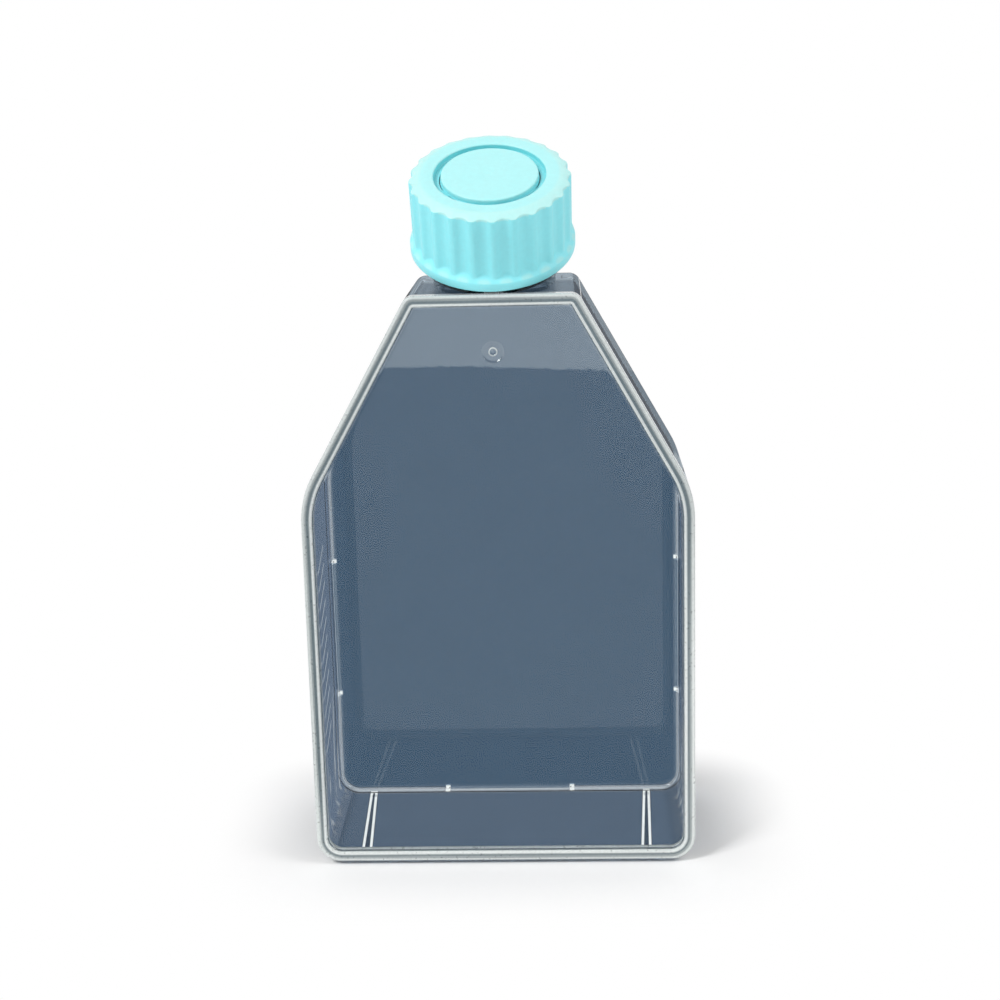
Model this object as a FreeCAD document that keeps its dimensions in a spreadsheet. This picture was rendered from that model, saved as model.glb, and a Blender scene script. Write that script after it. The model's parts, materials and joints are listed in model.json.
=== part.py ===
import FreeCAD, Part

import math
import os

import Sketcher
from FreeCAD import Vector

# Cell culture flask, millimetres, +Z up, standing on its base end.
# X runs across the flask. The face plate is on the -Y side, the growth wall on the +Y side.
# The origin is the middle of the base, on the plane that the two foot bars stand on.
# The neck leans towards the face plate, so the cap tilts to -Y.

SIZES = [
    # the outline of tray and face plate, seen square on
    ("body_width", 85.0, "width over the straight sides"),
    ("body_depth", 37.5, "bead of the face plate to stacking ridge"),
    ("straight_height", 84.6, "from base wall up to the corner where the shoulders start"),
    ("body_height", 128.2, "from base wall up to the end ledge"),
    ("ledge_width", 36.2, "width of the end ledge between the two shoulders"),
    ("base_corner", 5.6, "outside radius of the two base corners"),
    ("shoulder_corner", 22.0, "outside radius where a side turns into its shoulder"),
    ("ledge_corner", 2.8, "outside radius where a shoulder meets the ledge"),
    # the tray
    ("wall", 1.2, "wall of the tray"),
    ("ridge_height", 0.8, "stacking ridge on the growth wall"),
    ("ridge_width", 1.2, "width of the stacking ridge"),
    ("ridge_inset", 0.4, "from the outline to the stacking ridge"),
    ("side_gap_low", 27.0, "lower end of the gap in the ridge along each side"),
    ("side_gap_high", 59.5, "upper end of that gap"),
    ("base_gap", 29.6, "gap in the ridge along the base"),
    ("foot_height", 0.7, "foot bars under the base wall"),
    ("foot_width", 1.8, "width of a foot bar"),
    ("foot_spacing", 65.2, "between the middles of the foot bars"),
    ("foot_setback", 0.6, "from each end of a foot bar to the edge of the base wall"),
    # the neck, measured along its own axis from the plane of the cap's lower rim
    ("neck_cant", 28.5, "lean of the neck towards the face plate, degrees"),
    ("neck_offset", 3.0, "neck axis in front of the middle of the flask, at the cap's lower rim"),
    ("neck_lift", 9.0, "neck axis above the ledge, at the cap's lower rim"),
    ("neck_radius", 13.5, "outside of the neck under its thread"),
    ("neck_bore", 12.2, "inside radius of the neck"),
    ("neck_reach", 14.95, "from the cap's lower rim up to the mouth"),
    ("neck_lip", 0.4, "chamfer inside and outside the mouth"),
    ("collar_radius", 16.2, "collar round the neck below the cap"),
    ("collar_height", 1.6, "thickness of the collar"),
    ("collar_gap", 0.5, "between the collar and the cap's lower rim"),
    ("collar_edge", 0.5, "chamfer on the upper edge of the collar"),
    # the face plate
    ("plate_thickness", 1.5, "plate welded on the open side of the tray"),
    ("bead_height", 0.9, "raised bead round the face plate"),
    ("bead_width", 2.5, "width of that bead"),
    ("bead_round", 0.6, "rounding of the bead's outer edge"),
    ("bead_bevel", 0.4, "bevel of the bead's inner edge"),
    ("lip_clearance", 0.1, "between locating lip and tray wall"),
    ("lip_width", 0.8, "width of the locating lip"),
    ("lip_height", 0.8, "height of the locating lip"),
    ("gate_height", 115.9, "gate mark above the base wall"),
    ("gate_dish", 2.3, "radius of the shallow dish round the gate mark"),
    ("gate_dish_depth", 0.3, "depth of that dish"),
    ("gate_ring", 0.95, "outside radius of the gate ring"),
    ("gate_bore", 0.45, "inside radius of the gate ring"),
    ("gate_ring_height", 0.35, "gate ring above the floor of its dish"),
    # the cap, measured from the plane of its lower rim
    ("cap_height", 17.9, "height of the cap"),
    ("cap_radius", 17.2, "over the finger ribs"),
    ("band_radius", 17.9, "plain band at the lower rim"),
    ("band_height", 2.0, "height of that band"),
    ("toe_height", 1.6, "slope that ends each flute above the band"),
    ("flute_floor", 16.45, "radius at the floor of a flute"),
    ("flute_round", 2.55, "radius of a flute"),
    ("flute_count", 24, "flutes round the cap"),
    ("flute_start", -4.5, "where the first flute stands when the cap is tight, degrees"),
    ("crown_radius", 15.0, "flat part of the top ring"),
    ("crown_drop", 0.5, "fall of the top ring from there to the ribs"),
    ("cap_bore", 15.05, "inside radius of the skirt"),
    ("cap_ceiling", 15.3, "underside of the top ring"),
    ("groove_outer", 11.9, "outside radius of the ring groove"),
    ("disc_radius", 10.35, "centre disc inside the ring groove"),
    ("disc_edge", 0.3, "chamfer on the disc and the groove's outer edge"),
    ("groove_depth", 1.0, "depth of the ring groove"),
    ("chamber_radius", 11.4, "air chamber over the membrane"),
    ("chamber_height", 0.9, "height of that chamber"),
    ("vent_count", 6, "vent slots in the floor of the ring groove"),
    ("vent_angle", 46.0, "arc of one vent slot, degrees"),
    ("seal_radius", 12.85, "middle of the sealing ridge over the mouth"),
    ("seal_width", 0.6, "width of the sealing ridge at its root"),
    ("seal_clearance", 0.05, "between sealing ridge and mouth"),
    ("membrane_radius", 12.1, "vent membrane"),
    ("membrane_thickness", 0.2, "thickness of the membrane"),
    ("membrane_gap", 0.02, "seal film between membrane and its seat"),
]

doc = FreeCAD.newDocument("culture_flask")
sheet = doc.addObject("Spreadsheet::Sheet", "Sizes")
for row, (alias, number, note) in enumerate(SIZES, start=1):
    sheet.set("A%d" % row, alias.replace("_", " "))
    sheet.set("B%d" % row, str(number))
    sheet.setAlias("B%d" % row, alias)
    sheet.set("C%d" % row, note)
doc.recompute()


def size(alias):
    """The number in a cell of the sheet."""
    return float(sheet.get(alias))


# ---------------------------------------------------------------- helpers

def new_body(label):
    body = doc.addObject("PartDesign::Body", label)
    body.Label = label
    return body


def new_sketch(body, name, plane):
    """A sketch flat on one of the body's own origin planes."""
    sketch = body.newObject("Sketcher::SketchObject", name)
    found = [feature for feature in body.Origin.OriginFeatures if feature.Role == plane]
    sketch.AttachmentSupport = [(found[0], "")]
    sketch.MapMode = "FlatFace"
    return sketch


def lift(sketch, expression):
    """Moves a sketch off its plane, along the plane's normal."""
    sketch.setExpression("AttachmentOffset.Base.z", expression)


def dimension(sketch, name, expression, *constraint):
    """Adds a named constraint and ties it to the sheet."""
    index = sketch.addConstraint(Sketcher.Constraint(*constraint))
    sketch.renameConstraint(index, name)
    sketch.setExpression("Constraints." + name, expression)


def feature(body, kind, name, sketch, **settings):
    """A PartDesign feature on a sketch; text settings are expressions."""
    made = body.newObject("PartDesign::" + kind, name)
    made.Profile = sketch
    for key, value in settings.items():
        if isinstance(value, str):
            made.setExpression(key, value)
        else:
            setattr(made, key, value)
    doc.recompute()
    return made


def edges_where(solid, test):
    """Names of the edges of a feature that pass a test."""
    return ["Edge%d" % (number + 1) for number, edge in enumerate(solid.Shape.Edges) if test(edge)]


def dress(body, kind, name, base, edges, setting, expression):
    """A fillet or chamfer on the named edges."""
    made = body.newObject("PartDesign::" + kind, name)
    made.Base = (base, edges)
    made.setExpression(setting, expression)
    doc.recompute()
    return made


def nominal_corners():
    """The sharp corners of the flask's outline, as (x, z), anticlockwise from the lower left."""
    half = size("body_width") / 2
    half_ledge = size("ledge_width") / 2
    base = size("foot_height")
    shoulder = base + size("straight_height")
    top = base + size("body_height")
    return [(-half, base), (half, base), (half, shoulder),
            (half_ledge, top), (-half_ledge, top), (-half, shoulder)]


CORNER_SIZES = ["base_corner", "base_corner", "shoulder_corner",
                "ledge_corner", "ledge_corner", "shoulder_corner"]
SMALLEST_CORNER = 0.5


def inset_corners(inset):
    """The sharp corners of the outline moved inwards by inset."""
    corners = [Vector(x, z, 0) for x, z in nominal_corners()]
    moved = []
    for index, corner in enumerate(corners):
        before = (corner - corners[index - 1]).normalize()
        after = (corners[(index + 1) % 6] - corner).normalize()
        inward = Vector(-before.y, before.x, 0) + Vector(-after.y, after.x, 0)
        inward.normalize()
        half_angle = before.getAngle(after) / 2
        moved.append(corner + inward * (inset / math.cos(half_angle)))
    return moved


def draw_outline(sketch, insets):
    """Draws the rounded outline once for each inset, tied to one sharp construction outline.

    An inset is (value in mm, its expression), and 0 lies on the outline itself.
    """
    sharp = inset_corners(0)
    for index in range(6):
        sketch.addGeometry(Part.LineSegment(sharp[index], sharp[(index + 1) % 6]), True)
    for index in range(6):
        following = (index + 1) % 6
        sketch.addConstraint(Sketcher.Constraint("Coincident", index, 2, following, 1))
    for left, right in ((0, 1), (5, 2), (4, 3)):
        sketch.addConstraint(Sketcher.Constraint("Symmetric", left, 1, right, 1, -2))
    sketch.addConstraint(Sketcher.Constraint("Vertical", 1))
    dimension(sketch, "half_width", "Sizes.body_width / 2", "DistanceX", -1, 1, 1, 1, sharp[1].x)
    dimension(sketch, "half_ledge", "Sizes.ledge_width / 2", "DistanceX", -1, 1, 3, 1, sharp[3].x)
    dimension(sketch, "base", "Sizes.foot_height", "DistanceY", -1, 1, 1, 1, sharp[1].y)
    dimension(sketch, "straight", "Sizes.straight_height", "DistanceY", 1, 1, 2, 1, sharp[2].y - sharp[1].y)
    dimension(sketch, "whole", "Sizes.body_height", "DistanceY", 1, 1, 3, 1, sharp[3].y - sharp[1].y)
    for loop, (inset, expression) in enumerate(insets):
        draw_rounded_loop(sketch, 6 + 12 * loop, inset, expression, "loop%d" % loop)


def draw_rounded_loop(sketch, first, inset, expression, name):
    """Six lines and six tangent arcs, parallel to the construction outline at an inset."""
    corners = inset_corners(inset)
    radii = [max(size(alias) - inset, SMALLEST_CORNER) for alias in CORNER_SIZES]
    starts, ends, arcs = [], [], []
    for index, corner in enumerate(corners):
        before = (corner - corners[index - 1]).normalize()
        after = (corners[(index + 1) % 6] - corner).normalize()
        reach = radii[index] * math.tan(before.getAngle(after) / 2)
        entry = corner - before * reach
        leave = corner + after * reach
        centre = entry + Vector(-before.y, before.x, 0) * radii[index]
        angles = [math.atan2(point.y - centre.y, point.x - centre.x) for point in (entry, leave)]
        if angles[1] < angles[0]:
            angles[1] += 2 * math.pi
        circle = Part.Circle(centre, Vector(0, 0, 1), radii[index])
        arcs.append(Part.ArcOfCircle(circle, angles[0], angles[1]))
        ends.append(entry)
        starts.append(leave)
    for index in range(6):
        sketch.addGeometry(Part.LineSegment(starts[index], ends[(index + 1) % 6]), False)
    for arc in arcs:
        sketch.addGeometry(arc, False)
    for index in range(6):
        line, arc, next_arc = first + index, first + 6 + index, first + 6 + (index + 1) % 6
        sketch.addConstraint(Sketcher.Constraint("Tangent", arc, 2, line, 1))
        sketch.addConstraint(Sketcher.Constraint("Tangent", line, 2, next_arc, 1))
        if inset:
            sketch.addConstraint(Sketcher.Constraint("Parallel", index, line))
            dimension(sketch, "%s_inset%d" % (name, index), expression, "Distance", line, 1, index, inset)
        else:
            sketch.addConstraint(Sketcher.Constraint("PointOnObject", line, 1, index))
            sketch.addConstraint(Sketcher.Constraint("PointOnObject", line, 2, index))
    for index, alias in enumerate(CORNER_SIZES):
        radius = "max(Sizes.%s - (%s); %g)" % (alias, expression, SMALLEST_CORNER)
        dimension(sketch, "%s_corner%d" % (name, index), radius, "Radius", first + 6 + index, radii[index])


def value_of(expression):
    """The number that an expression in the sheet's names gives."""
    probe = doc.addObject("App::FeaturePython", "probe")
    probe.addProperty("App::PropertyFloat", "Value")
    probe.setExpression("Value", expression)
    doc.recompute([probe])
    number = probe.Value
    doc.removeObject(probe.Name)
    return number


def place_point(sketch, name, line, axis, expression):
    """Holds the start of a line at a signed distance from the sketch's origin."""
    number = value_of(expression)
    if abs(number) < 1e-9:
        sketch.addConstraint(Sketcher.Constraint("PointOnObject", line, 1, -2 if axis == "X" else -1))
    elif number < 0:
        dimension(sketch, name, "-(%s)" % expression, "Distance" + axis, line, 1, -1, 1, -number)
    else:
        dimension(sketch, name, expression, "Distance" + axis, -1, 1, line, 1, number)


def draw_profile(sketch, points):
    """A closed profile of straight lines; each point is a pair of expressions."""
    first = sketch.GeometryCount
    count = len(points)
    places = [Vector(value_of(x), value_of(y), 0) for x, y in points]
    for index in range(count):
        sketch.addGeometry(Part.LineSegment(places[index], places[(index + 1) % count]), False)
    for index in range(count):
        following = first + (index + 1) % count
        sketch.addConstraint(Sketcher.Constraint("Coincident", first + index, 2, following, 1))
    for index, (x, y) in enumerate(points):
        line = first + index
        place_point(sketch, "point%d_x" % line, line, "X", x)
        place_point(sketch, "point%d_y" % line, line, "Y", y)


def draw_circle(sketch, name, x, y, radius):
    """A circle; its middle and radius are expressions."""
    index = sketch.GeometryCount
    centre = Vector(value_of(x), value_of(y), 0)
    sketch.addGeometry(Part.Circle(centre, Vector(0, 0, 1), value_of(radius)), False)
    for axis, number, expression in (("X", centre.x, x), ("Y", centre.y, y)):
        if abs(number) < 1e-9:
            sketch.addConstraint(Sketcher.Constraint("PointOnObject", index, 3, -2 if axis == "X" else -1))
        else:
            dimension(sketch, name + "_" + axis.lower(), expression, "Distance" + axis, -1, 1, index, 3, number)
    dimension(sketch, name + "_radius", radius, "Radius", index, value_of(radius))


# ---------------------------------------------------------------- flask body

GROWTH_FACE = "Sizes.body_depth / 2 - Sizes.ridge_height"
RIM_FACE = "Sizes.body_depth / 2 - Sizes.bead_height - Sizes.plate_thickness"
TRAY_DEPTH = "Sizes.body_depth - Sizes.ridge_height - Sizes.bead_height - Sizes.plate_thickness"
LEDGE = "(Sizes.foot_height + Sizes.body_height)"
CANT_SINE = "sin(Sizes.neck_cant * 1 deg)"
CANT_COSINE = "cos(Sizes.neck_cant * 1 deg)"
NECK_FOOT = "-(Sizes.neck_lift + Sizes.neck_radius * %s + Sizes.wall / 2) / %s" % (CANT_SINE, CANT_COSINE)
BORE_FOOT = "-(Sizes.neck_lift + Sizes.neck_bore * %s + Sizes.wall * 1.2) / %s" % (CANT_SINE, CANT_COSINE)


def neck_sketch(body, name):
    """A sketch in the flask's middle plane whose upright axis is the axis of the neck."""
    sketch = new_sketch(body, name, "YZ_Plane")
    sketch.setExpression("AttachmentOffset.Base.x", "-Sizes.neck_offset")
    sketch.setExpression("AttachmentOffset.Base.y", LEDGE + " + Sizes.neck_lift")
    sketch.setExpression("AttachmentOffset.Rotation.Angle", "Sizes.neck_cant")
    return sketch


def make_flask_body():
    body = new_body("flask_body")

    outline = new_sketch(body, "tray_outline", "XZ_Plane")
    lift(outline, "-(%s)" % GROWTH_FACE)
    draw_outline(outline, [(0, "0")])
    feature(body, "Pad", "tray_block", outline, Length=TRAY_DEPTH)

    ridge = new_sketch(body, "ridge_outline", "XZ_Plane")
    lift(ridge, "-(%s)" % GROWTH_FACE)
    inner = size("ridge_inset") + size("ridge_width")
    draw_outline(ridge, [(size("ridge_inset"), "Sizes.ridge_inset"),
                         (inner, "Sizes.ridge_inset + Sizes.ridge_width")])
    feature(body, "Pad", "stacking_ridge", ridge, Length="Sizes.ridge_height", Reversed=True)

    gaps = new_sketch(body, "ridge_gaps", "XZ_Plane")
    lift(gaps, "-(Sizes.body_depth / 2)")
    half_width = "Sizes.body_width / 2"
    past_ridge = "(Sizes.ridge_inset + 2 * Sizes.ridge_width)"
    low = "Sizes.foot_height + Sizes.side_gap_low"
    high = "Sizes.foot_height + Sizes.side_gap_high"
    for side in ("-1 * ", ""):
        outer = side + "(" + half_width + " + Sizes.ridge_width)"
        within = side + "(" + half_width + " - " + past_ridge + ")"
        draw_profile(gaps, [(outer, low), (within, low), (within, high), (outer, high)])
    half_gap = "Sizes.base_gap / 2"
    under = "Sizes.foot_height - Sizes.ridge_width"
    over = "Sizes.foot_height + " + past_ridge
    draw_profile(gaps, [("-" + half_gap, under), (half_gap, under), (half_gap, over), ("-" + half_gap, over)])
    ledge_ends = "(Sizes.ledge_width / 2 - Sizes.ledge_corner)"
    beside = LEDGE + " - " + past_ridge
    above = LEDGE + " + Sizes.ridge_width"
    draw_profile(gaps, [("-1 * " + ledge_ends, beside), (ledge_ends, beside),
                        (ledge_ends, above), ("-1 * " + ledge_ends, above)])
    feature(body, "Pocket", "ridge_breaks", gaps, Length="Sizes.ridge_height", Reversed=True)

    neck = neck_sketch(body, "neck_profile")
    below_collar = "-(Sizes.collar_gap + Sizes.collar_height)"
    collar_top = "-Sizes.collar_gap"
    draw_profile(neck, [
        ("0", NECK_FOOT),
        ("Sizes.neck_radius", NECK_FOOT),
        ("Sizes.neck_radius", below_collar),
        ("Sizes.collar_radius", below_collar),
        ("Sizes.collar_radius", collar_top + " - Sizes.collar_edge"),
        ("Sizes.collar_radius - Sizes.collar_edge", collar_top),
        ("Sizes.neck_radius", collar_top),
        ("Sizes.neck_radius", "Sizes.neck_reach"),
        ("0", "Sizes.neck_reach"),
    ])
    feature(body, "Revolution", "neck_and_collar", neck, ReferenceAxis=(neck, ["V_Axis"]), Angle=360.0)

    cavity = new_sketch(body, "cavity_outline", "XZ_Plane")
    lift(cavity, RIM_FACE)
    draw_outline(cavity, [(size("wall"), "Sizes.wall")])
    feature(body, "Pocket", "culture_chamber", cavity, Length=TRAY_DEPTH + " - Sizes.wall")

    bore = neck_sketch(body, "bore_profile")
    draw_profile(bore, [
        ("0", BORE_FOOT),
        ("Sizes.neck_bore", BORE_FOOT),
        ("Sizes.neck_bore", "Sizes.neck_reach + Sizes.wall"),
        ("0", "Sizes.neck_reach + Sizes.wall"),
    ])
    mouth = feature(body, "Groove", "neck_passage", bore, ReferenceAxis=(bore, ["V_Axis"]), Angle=360.0)

    rim_circles = edges_where(mouth, at_the_mouth)
    dress(body, "Chamfer", "mouth_lip", mouth, rim_circles, "Size", "Sizes.neck_lip")

    feet = new_sketch(body, "foot_bars", "XY_Plane")
    lift(feet, "Sizes.foot_height")
    draw_foot(feet)
    bar = feature(body, "Pad", "foot_bar", feet, Length="Sizes.foot_height", Reversed=True)
    pair = body.newObject("PartDesign::Mirrored", "foot_bar_pair")
    pair.Originals = [bar]
    middle = [plane for plane in body.Origin.OriginFeatures if plane.Role == "YZ_Plane"]
    pair.MirrorPlane = (middle[0], [""])
    body.Tip = pair
    doc.recompute()
    return body


def neck_place(height):
    """A point on the neck's axis, height above the plane of the cap's lower rim."""
    cant = math.radians(size("neck_cant"))
    seat = size("foot_height") + size("body_height") + size("neck_lift")
    return Vector(0, -size("neck_offset") - height * math.sin(cant), seat + height * math.cos(cant))


def at_the_mouth(edge):
    """Whether an edge is one of the two circles at the mouth of the neck."""
    curve = edge.Curve
    if not isinstance(curve, Part.Circle):
        return False
    return curve.Center.isEqual(neck_place(size("neck_reach")), 0.01)


def draw_foot(sketch):
    """One foot bar: two straight sides and two round ends, front to back under the base wall."""
    middle = size("foot_spacing") / 2
    radius = size("foot_width") / 2
    back = value_of(GROWTH_FACE + " - Sizes.foot_setback") - radius
    front = -value_of(RIM_FACE + " - Sizes.foot_setback") + radius
    corners = [Vector(middle + radius, front, 0), Vector(middle + radius, back, 0),
               Vector(middle - radius, back, 0), Vector(middle - radius, front, 0)]
    sketch.addGeometry(Part.LineSegment(corners[0], corners[1]), False)
    sketch.addGeometry(Part.LineSegment(corners[2], corners[3]), False)
    ends = ((Vector(middle, back, 0), 0, math.pi), (Vector(middle, front, 0), math.pi, 2 * math.pi))
    for centre, start, stop in ends:
        sketch.addGeometry(Part.ArcOfCircle(Part.Circle(centre, Vector(0, 0, 1), radius), start, stop), False)
    for arc, arc_end, line, line_end in ((2, 1, 0, 2), (2, 2, 1, 1), (3, 1, 1, 2), (3, 2, 0, 1)):
        sketch.addConstraint(Sketcher.Constraint("Tangent", arc, arc_end, line, line_end))
    sketch.addConstraint(Sketcher.Constraint("Vertical", 0))
    dimension(sketch, "foot_radius", "Sizes.foot_width / 2", "Radius", 2, radius)
    dimension(sketch, "foot_middle", "Sizes.foot_spacing / 2", "DistanceX", -1, 1, 2, 3, middle)
    reach_back = GROWTH_FACE + " - Sizes.foot_setback - Sizes.foot_width / 2"
    reach_front = RIM_FACE + " - Sizes.foot_setback - Sizes.foot_width / 2"
    dimension(sketch, "foot_back", reach_back, "DistanceY", -1, 1, 2, 3, back)
    dimension(sketch, "foot_front", reach_front, "DistanceY", 3, 3, -1, 1, -front)


# ---------------------------------------------------------------- face plate

PLATE_FACE = "Sizes.body_depth / 2 - Sizes.bead_height"


def front_edges(solid, outer):
    """Names of the edges round the outside of the bead's front face, or of those round its inside."""
    front = -size("body_depth") / 2
    faces = [face for face in solid.Shape.Faces if abs(face.BoundBox.YMax - front) < 0.001]
    rim = faces[0].OuterWire.Edges

    def wanted(edge):
        on_the_front = all(abs(vertex.Y - front) < 0.001 for vertex in edge.Vertexes)
        return on_the_front and outer == any(edge.isSame(other) for other in rim)

    return edges_where(solid, wanted)


def make_face_plate():
    body = new_body("face_plate")

    outline = new_sketch(body, "plate_outline", "XZ_Plane")
    lift(outline, RIM_FACE)
    draw_outline(outline, [(0, "0")])
    feature(body, "Pad", "plate", outline, Length="Sizes.plate_thickness")

    bead = new_sketch(body, "bead_outline", "XZ_Plane")
    lift(bead, PLATE_FACE)
    draw_outline(bead, [(0, "0"), (size("bead_width"), "Sizes.bead_width")])
    raised = feature(body, "Pad", "bead", bead, Length="Sizes.bead_height")
    rounded = dress(body, "Fillet", "bead_outer_edge", raised, front_edges(raised, outer=True),
                    "Radius", "Sizes.bead_round")
    dress(body, "Chamfer", "bead_inner_edge", rounded, front_edges(rounded, outer=False),
          "Size", "Sizes.bead_bevel")

    lip = new_sketch(body, "lip_outline", "XZ_Plane")
    lift(lip, RIM_FACE)
    outer = size("wall") + size("lip_clearance")
    draw_outline(lip, [(outer, "Sizes.wall + Sizes.lip_clearance"),
                       (outer + size("lip_width"), "Sizes.wall + Sizes.lip_clearance + Sizes.lip_width")])
    feature(body, "Pad", "locating_lip", lip, Length="Sizes.lip_height", Reversed=True)

    gate_z = "Sizes.foot_height + Sizes.gate_height"
    dish = new_sketch(body, "gate_dish", "XZ_Plane")
    lift(dish, PLATE_FACE)
    draw_circle(dish, "dish", "0", gate_z, "Sizes.gate_dish")
    feature(body, "Pocket", "gate_mark_dish", dish, Length="Sizes.gate_dish_depth")

    ring = new_sketch(body, "gate_ring", "XZ_Plane")
    lift(ring, PLATE_FACE + " - Sizes.gate_dish_depth")
    draw_circle(ring, "ring", "0", gate_z, "Sizes.gate_ring")
    draw_circle(ring, "pit", "0", gate_z, "Sizes.gate_bore")
    feature(body, "Pad", "gate_mark_ring", ring, Length="Sizes.gate_ring_height")
    return body


# ---------------------------------------------------------------- cap

def cant_on_the_neck(body):
    """Sets a piece made upright on the plane of the cap's lower rim onto the leaning neck."""
    body.Placement = FreeCAD.Placement(neck_place(0), FreeCAD.Rotation(Vector(1, 0, 0), size("neck_cant")))
    body.setExpression("Placement.Base.y", "-Sizes.neck_offset")
    body.setExpression("Placement.Base.z", LEDGE + " + Sizes.neck_lift")
    body.setExpression("Placement.Rotation.Angle", "Sizes.neck_cant")


def make_cap_shell():
    body = new_body("cap_shell")

    shell = new_sketch(body, "cap_profile", "XZ_Plane")
    draw_profile(shell, [
        ("Sizes.cap_bore", "0"),
        ("Sizes.band_radius", "0"),
        ("Sizes.band_radius", "Sizes.band_height"),
        ("Sizes.cap_radius", "Sizes.band_height + Sizes.band_radius - Sizes.cap_radius"),
        ("Sizes.cap_radius", "Sizes.cap_height - Sizes.crown_drop"),
        ("Sizes.crown_radius", "Sizes.cap_height"),
        ("Sizes.groove_outer", "Sizes.cap_height"),
        ("Sizes.groove_outer", "Sizes.cap_height - Sizes.groove_depth"),
        ("Sizes.disc_radius", "Sizes.cap_height - Sizes.groove_depth"),
        ("Sizes.disc_radius", "Sizes.cap_height"),
        ("0", "Sizes.cap_height"),
        ("0", "Sizes.cap_ceiling + Sizes.chamber_height"),
        ("Sizes.chamber_radius", "Sizes.cap_ceiling + Sizes.chamber_height"),
        ("Sizes.chamber_radius", "Sizes.cap_ceiling"),
        ("Sizes.seal_radius - Sizes.seal_width / 2", "Sizes.cap_ceiling"),
        ("Sizes.seal_radius", "Sizes.neck_reach + Sizes.seal_clearance"),
        ("Sizes.seal_radius + Sizes.seal_width / 2", "Sizes.cap_ceiling"),
        ("Sizes.cap_bore", "Sizes.cap_ceiling"),
    ])
    turned = feature(body, "Revolution", "cap_blank", shell, ReferenceAxis=(shell, ["V_Axis"]), Angle=360.0)

    top = size("cap_height")
    groove_edges = (size("disc_radius"), size("groove_outer"))

    def at_the_groove(edge):
        curve = edge.Curve
        on_top = isinstance(curve, Part.Circle) and abs(curve.Center.z - top) < 0.001
        return on_top and any(abs(curve.Radius - radius) < 0.001 for radius in groove_edges)

    dress(body, "Chamfer", "groove_edges", turned, edges_where(turned, at_the_groove),
          "Size", "Sizes.disc_edge")

    flute = new_sketch(body, "flute", "XY_Plane")
    lift(flute, "Sizes.cap_height")
    flute.setExpression("AttachmentOffset.Rotation.Angle", "Sizes.flute_start")
    draw_circle(flute, "flute", "Sizes.flute_floor + Sizes.flute_round", "0", "Sizes.flute_round")
    cut = feature(body, "Pocket", "finger_flute", flute, Length="Sizes.cap_height - Sizes.band_height")
    flutes = polar_pattern(body, "finger_flutes", cut, "Sizes.flute_count")

    toe = new_sketch(body, "toe_profile", "XZ_Plane")
    draw_profile(toe, [
        ("Sizes.cap_bore", "Sizes.band_height - Sizes.toe_height"),
        ("Sizes.band_radius", "Sizes.band_height - Sizes.toe_height"),
        ("Sizes.band_radius", "Sizes.band_height"),
        ("Sizes.flute_floor", "Sizes.band_height + Sizes.toe_height"),
        ("Sizes.cap_bore", "Sizes.band_height + Sizes.toe_height"),
    ])
    feature(body, "Revolution", "flute_toes", toe, ReferenceAxis=(toe, ["V_Axis"]), Angle=360.0)

    slot = new_sketch(body, "vent_slot", "XY_Plane")
    lift(slot, "Sizes.cap_height - Sizes.groove_depth")
    draw_vent_slot(slot)
    vent = feature(body, "Pocket", "vent_slot_cut", slot,
                   Length="Sizes.cap_height - Sizes.groove_depth - Sizes.cap_ceiling")
    polar_pattern(body, "vent_slots", vent, "Sizes.vent_count")
    cant_on_the_neck(body)
    return body


def polar_pattern(body, name, original, count):
    """Repeats a feature evenly round the piece's own upright axis."""
    pattern = body.newObject("PartDesign::PolarPattern", name)
    pattern.Originals = [original]
    upright = [axis for axis in body.Origin.OriginFeatures if axis.Role == "Z_Axis"]
    pattern.Axis = (upright[0], [""])
    pattern.Angle = 360.0
    pattern.setExpression("Occurrences", count)
    body.Tip = pattern
    doc.recompute()
    return pattern


def draw_vent_slot(sketch):
    """A curved slot in the groove's floor, from the disc's edge out to the chamber's wall."""
    half = math.radians(size("vent_angle")) / 2
    radii = (size("disc_radius"), size("chamber_radius"))
    for radius in radii:
        circle = Part.Circle(Vector(0, 0, 0), Vector(0, 0, 1), radius)
        sketch.addGeometry(Part.ArcOfCircle(circle, -half, half), False)
    for sign in (-1, 1):
        direction = Vector(math.cos(half), sign * math.sin(half), 0)
        sketch.addGeometry(Part.LineSegment(direction * radii[0], direction * radii[1]), False)
    for arc in (0, 1):
        sketch.addConstraint(Sketcher.Constraint("Coincident", arc, 3, -1, 1))
    for line, arc_end in ((2, 1), (3, 2)):
        sketch.addConstraint(Sketcher.Constraint("Coincident", line, 1, 0, arc_end))
        sketch.addConstraint(Sketcher.Constraint("Coincident", line, 2, 1, arc_end))
        sketch.addConstraint(Sketcher.Constraint("PointOnObject", -1, 1, line))
    sketch.addConstraint(Sketcher.Constraint("Symmetric", 0, 1, 0, 2, -1))
    dimension(sketch, "slot_inner", "Sizes.disc_radius", "Radius", 0, radii[0])
    dimension(sketch, "slot_outer", "Sizes.chamber_radius", "Radius", 1, radii[1])
    dimension(sketch, "slot_angle", "Sizes.vent_angle * 1 deg", "Angle", 2, 1, 3, 1, 2 * half)


def make_vent_membrane():
    body = new_body("vent_membrane")
    disc = new_sketch(body, "membrane_outline", "XY_Plane")
    lift(disc, "Sizes.cap_ceiling - Sizes.membrane_gap")
    draw_circle(disc, "membrane", "0", "0", "Sizes.membrane_radius")
    feature(body, "Pad", "membrane", disc, Length="Sizes.membrane_thickness", Reversed=True)
    cant_on_the_neck(body)
    return body


# ---------------------------------------------------------------- build, check, write

pieces = [make_flask_body(), make_face_plate(), make_cap_shell(), make_vent_membrane()]
doc.recompute()

for item in doc.Objects:
    if "Invalid" in item.State or "Error" in item.State:
        raise RuntimeError("%s failed: %s" % (item.Name, item.State))

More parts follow.
